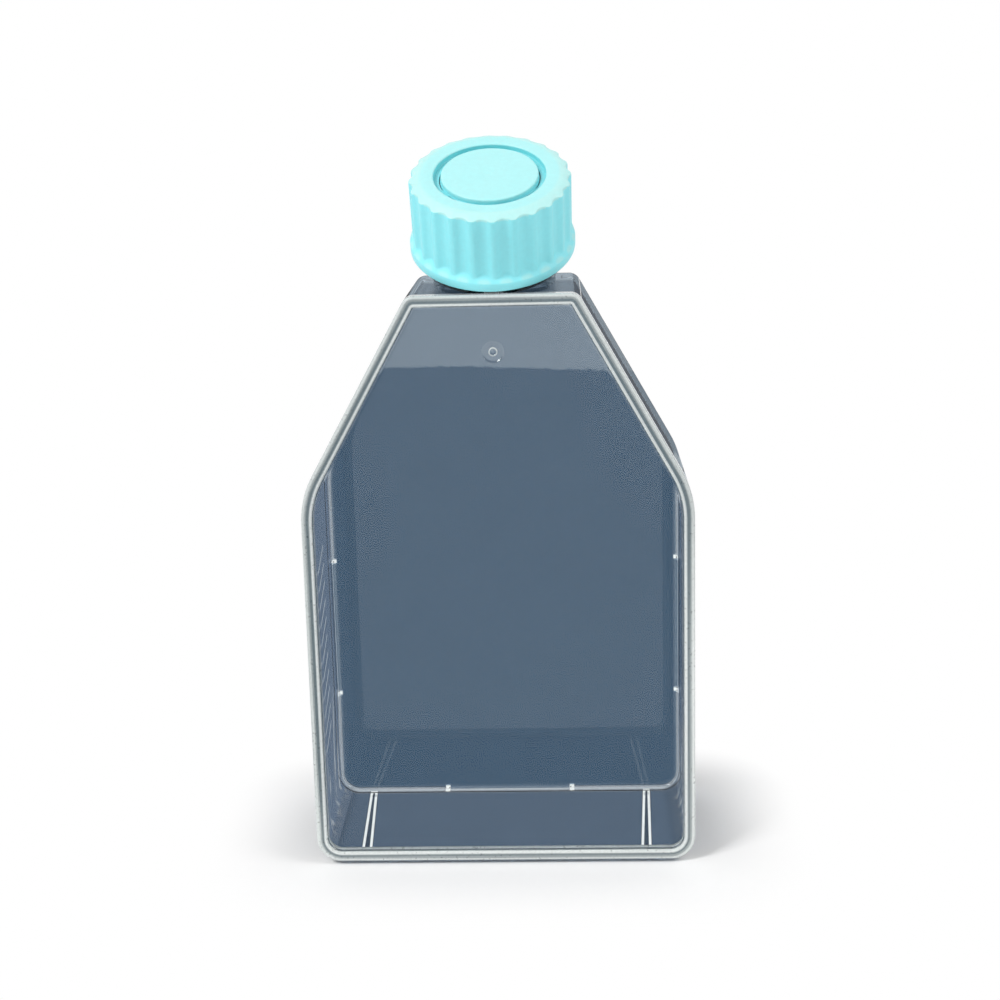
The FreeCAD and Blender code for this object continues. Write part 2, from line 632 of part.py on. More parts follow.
os.makedirs("parts", exist_ok=True)
for piece in pieces:
    shape = piece.Shape
    if shape.isNull() or not shape.isValid() or len(shape.Solids) != 1:
        raise RuntimeError("%s is not one sound solid" % piece.Label)
    box = shape.BoundBox
    print("%s: %.1f mm3, x %.2f..%.2f, y %.2f..%.2f, z %.2f..%.2f" % (
        piece.Label, shape.Volume, box.XMin, box.XMax, box.YMin, box.YMax, box.ZMin, box.ZMax))
    shape.exportStep("parts/%s.step" % piece.Label)
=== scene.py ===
"""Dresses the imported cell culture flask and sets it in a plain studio.

Laid out as an add-on: sizes and colours are properties, and each piece is made by its own operator.
Everything is in metres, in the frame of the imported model: +Z up, the face plate towards -Y.
"""

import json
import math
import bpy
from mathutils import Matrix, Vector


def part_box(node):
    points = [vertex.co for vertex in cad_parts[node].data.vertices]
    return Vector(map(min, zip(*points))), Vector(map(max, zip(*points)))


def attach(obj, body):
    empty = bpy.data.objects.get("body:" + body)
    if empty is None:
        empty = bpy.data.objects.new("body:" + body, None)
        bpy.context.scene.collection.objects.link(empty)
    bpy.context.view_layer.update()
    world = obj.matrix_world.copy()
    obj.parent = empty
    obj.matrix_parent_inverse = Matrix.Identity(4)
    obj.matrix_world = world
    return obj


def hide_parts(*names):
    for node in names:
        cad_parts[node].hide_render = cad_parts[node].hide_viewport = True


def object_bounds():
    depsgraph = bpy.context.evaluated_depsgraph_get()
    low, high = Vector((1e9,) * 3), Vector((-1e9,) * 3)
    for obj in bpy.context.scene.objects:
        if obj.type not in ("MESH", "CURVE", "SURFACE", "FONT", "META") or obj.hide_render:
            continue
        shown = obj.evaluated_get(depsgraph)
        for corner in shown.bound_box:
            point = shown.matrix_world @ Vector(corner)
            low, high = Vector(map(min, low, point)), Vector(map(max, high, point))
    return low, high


bl_info = {
    "name": "Cell culture flask",
    "version": (1, 0, 0),
    "blender": (4, 5, 0),
    "location": "View3D > Sidebar > Flask",
    "description": "Clear tray, welded face plate, threaded neck, ribbed cap and studio",
    "category": "Object",
}

import bmesh
import bpy
from bpy.props import FloatProperty, FloatVectorProperty, IntProperty, PointerProperty
from mathutils import Matrix, Vector

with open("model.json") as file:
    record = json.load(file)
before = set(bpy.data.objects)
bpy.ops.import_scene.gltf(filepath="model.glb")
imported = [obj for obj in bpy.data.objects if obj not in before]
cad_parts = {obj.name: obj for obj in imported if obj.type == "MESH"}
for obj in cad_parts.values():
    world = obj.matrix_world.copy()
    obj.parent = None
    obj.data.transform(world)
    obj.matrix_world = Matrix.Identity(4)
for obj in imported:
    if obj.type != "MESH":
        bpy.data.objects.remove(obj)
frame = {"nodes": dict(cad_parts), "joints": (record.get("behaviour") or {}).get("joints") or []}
cad_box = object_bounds()

MM = 0.001
PLATE_LOW, PLATE_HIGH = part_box("face_plate")
TRAY_LOW, TRAY_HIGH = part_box("flask_body")
CAP_TURN = next(joint for joint in frame["joints"] if joint["name"] == "cap_turn")
NECK_AXIS = Vector(CAP_TURN["axis"]).normalized()
CAP_PIVOT_HEIGHT = 9 * MM
CAP_BASE = Vector(CAP_TURN["pos_m"]) - NECK_AXIS * CAP_PIVOT_HEIGHT
THREAD_LEAD = 6 * MM
UNBENT = 1.0005  # refraction so weak that light goes straight through a wall
THICK, FLAT, CLOUDED = range(3)  # material slots of the flask's two mouldings


# -------------------- sizes and colours

def length(name, value, description):
    return FloatProperty(name=name, description=description, default=value, min=0, precision=5,
                         unit="LENGTH", subtype="DISTANCE")


def mm(name, millimetres, description):
    return length(name, millimetres * MM, description)


def depth(name, value, description):
    """A place from front to back, which may lie before the middle plane."""
    return FloatProperty(name=name, description=description, default=value,
                         unit="LENGTH", subtype="DISTANCE")


def angle(name, degrees, description):
    return FloatProperty(name=name, description=description, default=math.radians(degrees),
                         subtype="ANGLE", unit="ROTATION")


def number(name, value, description, **limits):
    return FloatProperty(name=name, description=description, default=value, **limits)


def colour(name, value, description):
    return FloatVectorProperty(name=name, description=description, default=value, size=3,
                               min=0, max=1, subtype="COLOR")


class TraySizes(bpy.types.PropertyGroup):
    width: length("Width", PLATE_HIGH.x - PLATE_LOW.x, "Over the straight sides")
    base: length("Base", PLATE_LOW.z, "Height of the base wall's outer face")
    shoulder: mm("Shoulder", 85.3, "Height of the corner where a shoulder starts")
    ledge: length("Ledge", PLATE_HIGH.z, "Height of the end ledge")
    ledge_width: mm("Ledge width", 36.2, "Between the two shoulders")
    base_corner: mm("Base corner", 5.6, "Outside radius")
    shoulder_corner: mm("Shoulder corner", 22, "Outside radius")
    ledge_corner: mm("Ledge corner", 2.8, "Outside radius")
    wall: mm("Wall", 1.2, "Thickness of the tray's walls")
    inner_fillet: mm("Inner fillet", 0.9, "Between the growth wall and the side walls")
    growth_face: length("Growth face", TRAY_HIGH.y - 0.8 * MM, "Outer face of the growth wall")
    ridge_height: mm("Ridge height", 0.8, "Stacking ridge on the growth wall")
    ridge_inset: mm("Ridge inset", 0.6, "From the outline to the stacking ridge")
    ridge_width: mm("Ridge width", 0.75, "Width of the stacking ridge")
    side_gap_low: mm("Gap low", 27.7, "Lower end of the ridge's gap on each side")
    side_gap_high: mm("Gap high", 60.2, "Upper end of that gap")
    base_gap: mm("Base gap", 29.6, "Gap in the ridge along the base")
    foot_width: mm("Foot width", 1.8, "Width of a foot bar")
    foot_taper: mm("Foot taper", 0.18, "How far each side widens at the front and narrows at the back")
    foot_edge: mm("Foot edge", 0.52, "Clear line along each edge of a foot bar")
    foot_splay: angle("Foot splay", 3.1, "How far the foot bars open towards the back")
    marks_low: mm("First mark", 21.5, "Height of the lowest graduation line")
    marks_high: mm("Last mark", 66, "No graduation line above this height")
    marks_pitch: mm("Mark pitch", 4.3, "Between graduation lines")
    marks_front: depth("Marks' front", -5.5 * MM, "Where the graduation lines start")
    marks_back: depth("Marks' back", 3.5 * MM, "Where the graduation lines end")
    marks_slope: number("Marks' slope", 0.45, "Rise of a graduation line over its length")
    foot_spacing: mm("Foot spacing", 65.2, "Between the middles of the foot bars")
    neck_radius: mm("Neck radius", 13.5, "Outside of the neck under its thread")
    neck_bore: mm("Neck bore", 12.2, "Inside radius of the neck")
    neck_reach: mm("Neck reach", 14.95, "From the cap's lower rim up to the mouth")
    collar_radius: mm("Collar radius", 16.2, "Collar below the cap")


class PlateSizes(bpy.types.PropertyGroup):
    front: length("Front", -PLATE_LOW.y, "The bead's face in front of the middle plane")
    bead_height: mm("Bead height", 0.9, "Raised bead round the plate")
    bead_width: mm("Bead width", 2.5, "Width of the bead")
    bead_round: mm("Bead round", 0.6, "Rounding of the bead's outer edge")
    thickness: mm("Thickness", 1.5, "Thickness of the plate inside the bead")
    weld_gap: mm("Weld line", 0.02, "Line left between plate and tray")
    gate_height: mm("Gate height", 116.6, "Height of the gate mark")
    gate_dish: mm("Gate dish", 2.3, "Radius of the dish round the gate mark")


class CapSizes(bpy.types.PropertyGroup):
    height: mm("Height", 17.9, "Lower rim to top")
    radius: mm("Radius", 17.2, "Over the finger ribs")
    band_radius: mm("Band radius", 17.9, "Plain band at the lower rim")
    band_height: mm("Band height", 2, "Height of the band")
    toe_height: mm("Toe height", 1.6, "Slope at the foot of each flute")
    flute_floor: mm("Flute floor", 16.45, "Radius at the floor of a flute")
    flute_round: mm("Flute round", 2.55, "Radius of a flute")
    flutes: IntProperty(name="Flutes", description="Flutes round the cap", default=24, min=8, max=60)
    flute_start: angle("Flute start", -4.5, "Where the first flute stands")
    crown_radius: mm("Crown radius", 15, "Flat part of the top ring")
    crown_drop: mm("Crown drop", 0.85, "Fall of the top ring to the ribs")
    groove_outer: mm("Groove outside", 11.9, "Ring groove in the top")
    disc_radius: mm("Disc radius", 10.35, "Centre disc inside the groove")
    groove_depth: mm("Groove depth", 1.3, "Depth of the ring groove")
    bore: mm("Bore", 15.05, "Inside radius of the skirt")
    ceiling: mm("Ceiling", 15.3, "Underside of the top ring")


class FlaskColours(bpy.types.PropertyGroup):
    growth_wall: colour("Growth wall", (0.061, 0.112, 0.175), "Tint of the growth wall")
    # Painted reflection: a lighter tint high on the growth wall, above a wavy line near the neck.
    reflection_band: colour("Growth wall's reflection band", (0.20, 0.255, 0.315), "Painted reflection: lighter tint high on the growth wall")
    side_walls: colour("Side walls", (0.135, 0.185, 0.26), "Tint of the side walls and shoulders")
    base_wall: colour("Base wall", (0.096, 0.14, 0.20), "Tint of the base wall")
    outer_faces: colour("Outer faces", (0.55, 0.62, 0.67), "Share of that tint on their outer faces")
    shoulder_walls: colour("Shoulders", (0.08, 0.12, 0.165), "Tint of the shoulders, both faces together")
    shoulder_faces: colour("Shoulders' outside", (0.13, 0.17, 0.20), "Tint of their outer faces alone")
    # Painted highlight: the fillet's tint is lighter than the growth wall's, giving a light line along the
    # inner corner.
    fillet: colour("Fillet", (0.26, 0.30, 0.35), "Tint along the growth wall's inner fillet")
    neck: colour("Neck", (0.38, 0.45, 0.50), "Tint of the neck and its collar")
    plate: colour("Plate", (0.85, 0.88, 0.90), "Tint of the face plate")
    # Painted highlights: the bead and the moulded edges take paler, nearly clear tints, so they show as light
    # lines.
    bead: colour("Bead", (0.95, 0.97, 0.96), "Tint of the plate's bead")
    edge: colour("Edges", (0.96, 0.98, 0.96), "Tint of ridges, bars and other moulded edges")
    seam: colour("Seam", (0.93, 0.97, 0.95), "Cloudy plastic of the weld and the gate mark")
    cap: colour("Cap", (0.26, 0.76, 0.82), "Cyan polyethylene")
    # Painted sheen: the top, its edge and the flutes' toes are paler where light falls on them.
    cap_top: colour("Cap's top", (0.44, 0.77, 0.755), "Painted sheen on the top, its edge and the toes")
    # Painted shade: the ring groove is darker where it is shaded.
    groove: colour("Cap's groove", (0.21, 0.68, 0.72), "Painted shade in the cap's ring groove")
    # Painted shadow: a dark contact shadow along the plate's lowest edge.
    line: colour("Outer line", (0.04, 0.08, 0.14), "Dark line along the plate's outer edge")
    membrane: colour("Membrane", (0.90, 0.90, 0.88), "Vent membrane")
    floor: colour("Floor", (0.92, 0.92, 0.92), "Studio floor")


class StudioSettings(bpy.types.PropertyGroup):
    azimuth: angle("Azimuth", 2.18, "Camera to the right of the flask's front")
    elevation: angle("Elevation", 11.67, "Camera above level")
    roll: angle("Roll", -1.45, "Lean of the camera")
    distance: mm("Distance", 343.6, "Camera to the point it looks at")
    target: FloatVectorProperty(name="Target", description="Point that the camera looks at",
                                default=(1.2 * MM, PLATE_LOW.y, 103.4 * MM), size=3,
                                subtype="TRANSLATION", unit="LENGTH")
    lens: number("Lens", 58.3, "Focal length in millimetres", min=1)
    shift: number("Shift", -0.086, "Rise of the picture in the camera")
    sky: number("Sky", 0.61, "Soft light from all sides", min=0)
    key: number("Key", 9.2, "Lamp at the upper left, in watts", min=0)
    fill: number("Fill", 3.25, "Lamp at the right, in watts", min=0)


# -------------------- the flask's outline

CORNER_STEPS = 10
RAMP = 0.9 * MM  # how far the ridge takes to rise at the end of a gap


def outline_corners(sizes):
    """The sharp corners as (x, z), anticlockwise from the lower left, each with its radius."""
    half, half_ledge = sizes.width / 2, sizes.ledge_width / 2
    right = [(half, sizes.base, sizes.base_corner), (half, sizes.shoulder, sizes.shoulder_corner),
             (half_ledge, sizes.ledge, sizes.ledge_corner)]
    left = [(-x, z, radius) for x, z, radius in right[::-1]]
    return [(Vector((x, z)), radius) for x, z, radius in left[-1:] + right + left[:-1]]


def ridge_gaps(sizes):
    """The ends of the ridge's gap on each straight that has one, along x or z."""
    base, sides = sizes.base_gap / 2, (sizes.side_gap_low, sizes.side_gap_high)
    ledge = sizes.ledge_width / 2 - sizes.ledge_corner - 0.6 * MM
    return {0: (-base, base), 1: sides, 3: (-ledge, ledge), 5: sides}


def gap_points(gap, backwards):
    """Extra points along a straight for the ramps at both ends of a gap."""
    steps = (0, RAMP / 3, 2 * RAMP / 3, RAMP)
    points = sorted([gap[0] - step for step in steps] + [gap[1] + step for step in steps])
    return points[::-1] if backwards else points


def ridge_presence(gap, along):
    """1 where the stacking ridge stands, 0 in its gap, with short ramps between."""
    share = min(max(max(gap[0] - along, along - gap[1]) / RAMP, 0), 1)
    return math.sqrt(1 - (1 - share) ** 2)


def outline(sizes, inset):
    """Points of the rounded outline moved inwards, as (x, z, ridge presence)."""
    corners = outline_corners(sizes)
    arcs = []
    for index, (corner, radius) in enumerate(corners):
        before = (corner - corners[index - 1][0]).normalized()
        after = (corners[(index + 1) % len(corners)][0] - corner).normalized()
        turn = before.angle(after)
        inward = (Vector((-before.y, before.x)) + Vector((-after.y, after.x))).normalized()
        moved = corner + inward * (inset / math.cos(turn / 2))
        left = max(radius - inset, 0.3 * MM)
        entry = moved - before * left * math.tan(turn / 2)
        centre = entry + Vector((-before.y, before.x)) * left
        start = math.atan2(entry.y - centre.y, entry.x - centre.x)
        angles = [start + turn * step / CORNER_STEPS for step in range(CORNER_STEPS + 1)]
        arcs.append([centre + Vector((math.cos(angle), math.sin(angle))) * left for angle in angles])
    gaps = ridge_gaps(sizes)
    points = []
    for index, arc in enumerate(arcs):
        points += [(place.x, place.y, 1.0) for place in arc]
        if index in gaps:
            level = index in (0, 3)
            for mark in gap_points(gaps[index], index > 2):
                place = Vector((mark, arc[-1].y) if level else (arc[-1].x, mark))
                along = place.x if level else place.y
                points.append((place.x, place.y, ridge_presence(gaps[index], along)))
    return points


# -------------------- mesh helpers

def circle(radius, steps=48):
    """Points of a circle in a plane."""
    turns = [2 * math.pi * step / steps for step in range(steps)]
    return [(radius * math.cos(turn), radius * math.sin(turn)) for turn in turns]


def rounding(centre_a, centre_b, radius, start, stop, steps):
    """Points of an arc in a profile; angles in degrees."""
    turns = [math.radians(start + (stop - start) * step / steps) for step in range(steps + 1)]
    return [(centre_a + radius * math.cos(turn), centre_b + radius * math.sin(turn)) for turn in turns]


def new_mesh(*layers):
    """An empty bmesh and its layers of one number per point."""
    bm = bmesh.new()
    for name in layers:
        bm.verts.layers.float.new(name)
    return bm, *(bm.verts.layers.float[name] for name in layers)


def add_loop(bm, places, values=()):
    """Points of a closed loop, with (layer, value) pairs that all of them get."""
    verts = [bm.verts.new(place) for place in places]
    for layer, value in values:
        for vert in verts:
            vert[layer] = value
    return verts


def bridge(bm, *loops):
    """Quads between closed loops with the same number of points."""
    faces = []
    for first, second in zip(loops, loops[1:]):
        nexts = zip(first, first[1:] + first[:1], second[1:] + second[:1], second)
        faces += [bm.faces.new(corners) for corners in nexts]
    return faces


def edge_loop(bm, loop):
    """The edges of a closed loop, made where they are missing."""
    return [bm.edges.get(pair) or bm.edges.new(pair) for pair in zip(loop, loop[1:] + loop[:1])]


def revolve(profile, steps=128):
    """Turns a profile of (radius, height) about the neck's axis; points on the axis close it."""
    bm = bmesh.new()
    matrix = neck_matrix()
    loops = []
    for radius, height in profile:
        flat = circle(radius, steps) if radius else [(0, 0)]
        loops.append(add_loop(bm, [matrix @ Vector((*place, height)) for place in flat]))
    for lower, upper in zip(loops, loops[1:]):
        if len(lower) == len(upper):
            bridge(bm, lower, upper)
        else:
            (tip,), ring = sorted((lower, upper), key=len)
            for pair in zip(ring, ring[1:] + ring[:1]):
                bm.faces.new((tip, *pair))
    return bm


def new_piece(name, bm):
    """A finished bmesh as an object at the origin, with its faces turned outwards."""
    bmesh.ops.recalc_face_normals(bm, faces=bm.faces)
    mesh = bpy.data.meshes.new(name)
    bm.to_mesh(mesh)
    bm.free()
    piece = bpy.data.objects.new(name, mesh)
    bpy.context.scene.collection.objects.link(piece)
    return piece


def soften(piece, sharpest=35):
    """Smooth shading with sharp edges kept, and flat faces kept flat by weighted normals."""
    bm = bmesh.new()
    bm.from_mesh(piece.data)
    for face in bm.faces:
        face.smooth = True
    for edge in bm.edges:
        if len(edge.link_faces) == 2:
            edge.smooth = edge.calc_face_angle(0) < math.radians(sharpest)
    bm.to_mesh(piece.data)
    bm.free()
    weighted = piece.modifiers.new("flat faces stay flat", "WEIGHTED_NORMAL")
    weighted.keep_sharp = True
    weighted.mode = "FACE_AREA"


def settle(piece):
    """Puts the result of the piece's modifiers into its mesh and removes them."""
    depsgraph = bpy.context.evaluated_depsgraph_get()
    mesh = bpy.data.meshes.new_from_object(piece.evaluated_get(depsgraph), preserve_all_data_layers=True,
                                           depsgraph=depsgraph)
    mesh.name = piece.name
    piece.modifiers.clear()
    piece.data = mesh


def combine(piece, other, operation):
    """Joins or cuts a piece with another solid, which is then removed."""
    modifier = piece.modifiers.new(operation, "BOOLEAN")
    modifier.operation = operation
    modifier.solver = "EXACT"
    modifier.object = other
    settle(piece)
    bpy.data.objects.remove(other)
    if not piece.data.polygons:
        raise RuntimeError("%s was left empty by %s" % (piece.name, operation))


def give_materials(piece, *materials):
    """Sets a piece's materials; if it had any, all its faces go back to the first."""
    if piece.data.materials:
        piece.data.materials.clear()
    for material in materials:
        piece.data.materials.append(material)


def neck_matrix():
    """From a piece's own upright frame, on the plane of the cap's lower rim, to its place on the neck."""
    turn = Vector((0, 0, 1)).rotation_difference(NECK_AXIS).to_matrix().to_4x4()
    return Matrix.Translation(CAP_BASE) @ turn


# -------------------- node helpers

def plug(tree, made, inputs):
    """Feeds a node's inputs, by name or number, from plain values, nodes, sockets or Values."""
    for key, value in inputs.items():
        socket = made.inputs[key]
        if isinstance(value, Value):
            value = value.socket
        elif isinstance(value, bpy.types.Node):
            value = value.outputs[0]
        if isinstance(value, bpy.types.NodeSocket):
            tree.links.new(value, socket)
        else:
            socket.default_value = (*value[:3], 1) if socket.type == "RGBA" else value


def node(tree, kind, inputs=None, **settings):
    """A new node with its settings and inputs."""
    made = tree.nodes.new(kind)
    for key, value in settings.items():
        setattr(made, key, value)
    plug(tree, made, inputs or {})
    return made


def maths(tree, operation, *operands):
    made = node(tree, "ShaderNodeMath", dict(enumerate(operands)), operation=operation)
    return Value(tree, made.outputs[0])


class Value:
    """What comes out of a node; arithmetic on it places Math nodes in the same tree."""

    def __init__(self, tree, socket):
        self.tree, self.socket = tree, socket

    def __rsub__(self, other):
        return maths(self.tree, "SUBTRACT", other, self)

    def span(self, low, high):
        """0 below low, 1 above high, smooth between."""
        inputs = {"Value": self, "From Min": low, "From Max": high}
        made = node(self.tree, "ShaderNodeMapRange", inputs, interpolation_type="SMOOTHSTEP")
        return Value(self.tree, made.outputs["Result"])

    def below(self, low, high):
        """1 below low, 0 above high, smooth between."""
        return 1.0 - self.span(low, high)

    def band(self, low, high, soft):
        """1 between low and high, with soft borders."""
        return self.span(low - soft, low + soft) * self.below(high - soft, high + soft)

    def past(self, border):
        """0 below the border and 1 above it, over a twentieth of a millimetre."""
        return ((self - border) / (0.05 * MM)).most(0.0).least(1.0)

    def blend(self, first, second):
        """Mixes two colours by this mask; each is a colour or a socket."""
        inputs = {"Factor": self, 6: first, 7: second}
        return node(self.tree, "ShaderNodeMix", inputs, data_type="RGBA").outputs[2]


def give_operator(name, operation):
    setattr(Value, name, lambda value, *others: maths(value.tree, operation, value, *others))


OPERATORS = {"__add__": "ADD", "__sub__": "SUBTRACT", "__mul__": "MULTIPLY", "__truediv__": "DIVIDE",
             "__gt__": "GREATER_THAN", "__lt__": "LESS_THAN", "__abs__": "ABSOLUTE",
             "most": "MAXIMUM", "least": "MINIMUM"}
for operator_name, math_operation in OPERATORS.items():
    give_operator(operator_name, math_operation)


def attribute(tree, name):
    return Value(tree, node(tree, "ShaderNodeAttribute", attribute_name=name).outputs["Fac"])


def object_place(tree):
    return node(tree, "ShaderNodeTexCoord").outputs["Object"]


def axes(tree):
    """The place on the object as three Values: across, from front to back, and up."""
    parts = node(tree, "ShaderNodeSeparateXYZ", {0: object_place(tree)}).outputs
    return [Value(tree, part) for part in parts]


def noise(tree, scale, detail, inputs=None, **settings):
    inputs = {"Scale": scale, "Detail": detail, **(inputs or {})}
    made = node(tree, "ShaderNodeTexNoise", inputs, **settings)
    return Value(tree, made.outputs["Fac"])


def new_group(name, kind, inputs, outputs):
    """An empty node group with its interface, its inputs as Values, and its output node."""
    tree = bpy.data.node_groups.new(name, kind)
    for direction, sockets in (("INPUT", inputs), ("OUTPUT", outputs)):
        for label, (socket, *default) in sockets.items():
            made = tree.interface.new_socket(label, in_out=direction, socket_type="NodeSocket" + socket)
            if default:
                made.default_value = default[0]
    given = node(tree, "NodeGroupInput").outputs
    return tree, {label: Value(tree, given[label]) for label in inputs}, node(tree, "NodeGroupOutput")


# -------------------- geometry nodes

def copies_round_axis(tree, geometry, count):
    """Copies of the geometry at even angles round the upright axis, as real geometry."""
    points = node(tree, "GeometryNodeMeshLine", {"Count": count, "Offset": (0, 0, 0)}, mode="OFFSET")
    index = Value(tree, node(tree, "GeometryNodeInputIndex").outputs[0])
    turn = node(tree, "ShaderNodeCombineXYZ", {"Z": index * (2 * math.pi) / count})
    copies = node(tree, "GeometryNodeInstanceOnPoints",
                  {"Points": points, "Instance": geometry, "Rotation": turn})
    return node(tree, "GeometryNodeRealizeInstances", {0: copies})


def end_tree(tree, geometry, given, result):
    """Gives the geometry its material as the tree's last step."""
    last = node(tree, "GeometryNodeSetMaterial", {"Geometry": geometry, "Material": given["Material"]})
    plug(tree, result, {0: last})


def repeat_tree():
    """Repeats its geometry evenly round the upright axis and welds the seams."""
    tree, given, result = new_group("Repeat round the axis", "GeometryNodeTree", {
        "Geometry": ("Geometry",), "Count": ("Int", 24), "Weld distance": ("Float", 0.002 * MM),
        "Material": ("Material",)}, {"Geometry": ("Geometry",)})
    real = copies_round_axis(tree, given["Geometry"], given["Count"])
    weld = node(tree, "GeometryNodeMergeByDistance", {"Geometry": real, "Distance": given["Weld distance"]})
    end_tree(tree, weld, given, result)
    return tree


def thread_tree():
    """A round-backed screw thread of several starts, tapered at both ends."""
    tree, given, result = new_group("Screw thread", "GeometryNodeTree", {
        "Geometry": ("Geometry",), "Radius": ("Float", 13.8 * MM), "Lead": ("Float", THREAD_LEAD),
        "Turns": ("Float", 1.5), "Start height": ("Float", 2 * MM), "Start angle": ("Float", 0.0),
        "Thickness": ("Float", 0.6 * MM), "Starts": ("Int", 2), "Material": ("Material",)},
        {"Geometry": ("Geometry",)})
    line = node(tree, "GeometryNodeCurvePrimitiveLine")
    resample = node(tree, "GeometryNodeResampleCurve", {"Curve": line, "Count": 160})
    share = Value(tree, node(tree, "GeometryNodeSplineParameter").outputs["Factor"])
    turned = share * given["Turns"]
    angle = turned * (2 * math.pi) + given["Start angle"]
    place = node(tree, "ShaderNodeCombineXYZ", {
        "X": maths(tree, "COSINE", angle) * given["Radius"],
        "Y": maths(tree, "SINE", angle) * given["Radius"],
        "Z": turned * given["Lead"] + given["Start height"]})
    helix = node(tree, "GeometryNodeSetPosition", {"Geometry": resample, "Position": place})
    taper = (share.least(1.0 - share) * 12.0 + 0.15).least(1.0)
    section = node(tree, "GeometryNodeCurvePrimitiveCircle", {"Resolution": 12, "Radius": 1.0})
    sweep = node(tree, "GeometryNodeCurveToMesh", {
        "Curve": helix, "Profile Curve": section, "Scale": taper * given["Thickness"], "Fill Caps": True})
    real = copies_round_axis(tree, sweep, given["Starts"])
    end_tree(tree, real, given, result)
    return tree


def run_tree(piece, tree, **values):
    """Gives a piece the tree's result as a plain mesh; inputs are named with underscores for spaces."""
    modifier = piece.modifiers.new(tree.name, "NODES")
    modifier.node_group = tree
    for item in tree.interface.items_tree:
        key = item.name.replace(" ", "_")
        if item.item_type == "SOCKET" and item.in_out == "INPUT" and key in values:
            modifier[item.identifier] = values[key]
    settle(piece)


def make_thread(name, **values):
    """Two starts of round thread, upright on the plane of the cap's lower rim."""
    piece = new_piece(name, bmesh.new())
    tree = bpy.data.node_groups.get("Screw thread") or thread_tree()
    run_tree(piece, tree, Lead=THREAD_LEAD, Thickness=0.62 * MM, Starts=2, **values)
    return piece


# -------------------- materials

def new_material(name):
    """A material with its node tree and its shader, which feeds the output."""
    material = bpy.data.materials.new(name)
    material.use_nodes = True
    tree = material.node_tree
    tree.nodes.clear()
    shader = node(tree, "ShaderNodeBsdfPrincipled")
    node(tree, "ShaderNodeOutputMaterial", {"Surface": shader})
    return material, tree, shader


def mottle_group():
    """Slight unevenness of moulded plastic: colour, roughness and height from two noises."""
    name = "Moulded unevenness"
    if name in bpy.data.node_groups:
        return bpy.data.node_groups[name]
    tree, given, result = new_group(name, "ShaderNodeTree", {
        "Color": ("Color", (0.8, 0.8, 0.8, 1)), "Scale": ("Float", 400.0), "Colour change": ("Float", 0.06),
        "Roughness": ("Float", 0.3), "Roughness change": ("Float", 0.1)},
        {"Color": ("Color",), "Roughness": ("Float",), "Height": ("Float",)})
    place = {"Vector": object_place(tree)}
    fine = noise(tree, given["Scale"], 3, place)
    broad = noise(tree, given["Scale"] * 0.08, 2, place)
    both = fine * 1.6 + broad * 0.4 - 1.0
    change = both * given["Colour change"] + 1.0
    scaled = node(tree, "ShaderNodeVectorMath", {0: given["Color"], "Scale": change}, operation="SCALE")
    rough = both * given["Roughness change"] + given["Roughness"]
    plug(tree, result, {"Color": scaled, "Roughness": rough, "Height": fine})
    return tree


def add_mottle(tree, shader, tone, scale, colour_change, roughness, roughness_change, bump=0.0):
    """Places the unevenness group between a colour and the shader."""
    group = node(tree, "ShaderNodeGroup", node_tree=mottle_group())
    plug(tree, group, {"Color": tone, "Scale": scale, "Colour change": colour_change,
                       "Roughness": roughness, "Roughness change": roughness_change})
    plug(tree, shader, {"Base Color": group.outputs["Color"], "Roughness": group.outputs["Roughness"]})
    if bump:
        relief = {"Strength": bump, "Distance": 0.05 * MM, "Height": group.outputs["Height"]}
        plug(tree, shader, {"Normal": node(tree, "ShaderNodeBump", relief)})


FAINT = 0.38  # strength of graduation and rubbing marks


def share_of_tray(tree):
    """The place on the tray as shares of its box, each from 0 to 1."""
    size = TRAY_HIGH - TRAY_LOW
    inputs = {0: object_place(tree), 1: [1 / side for side in size],
              2: [-low / side for low, side in zip(TRAY_LOW, size)]}
    return node(tree, "ShaderNodeVectorMath", inputs, operation="MULTIPLY_ADD")


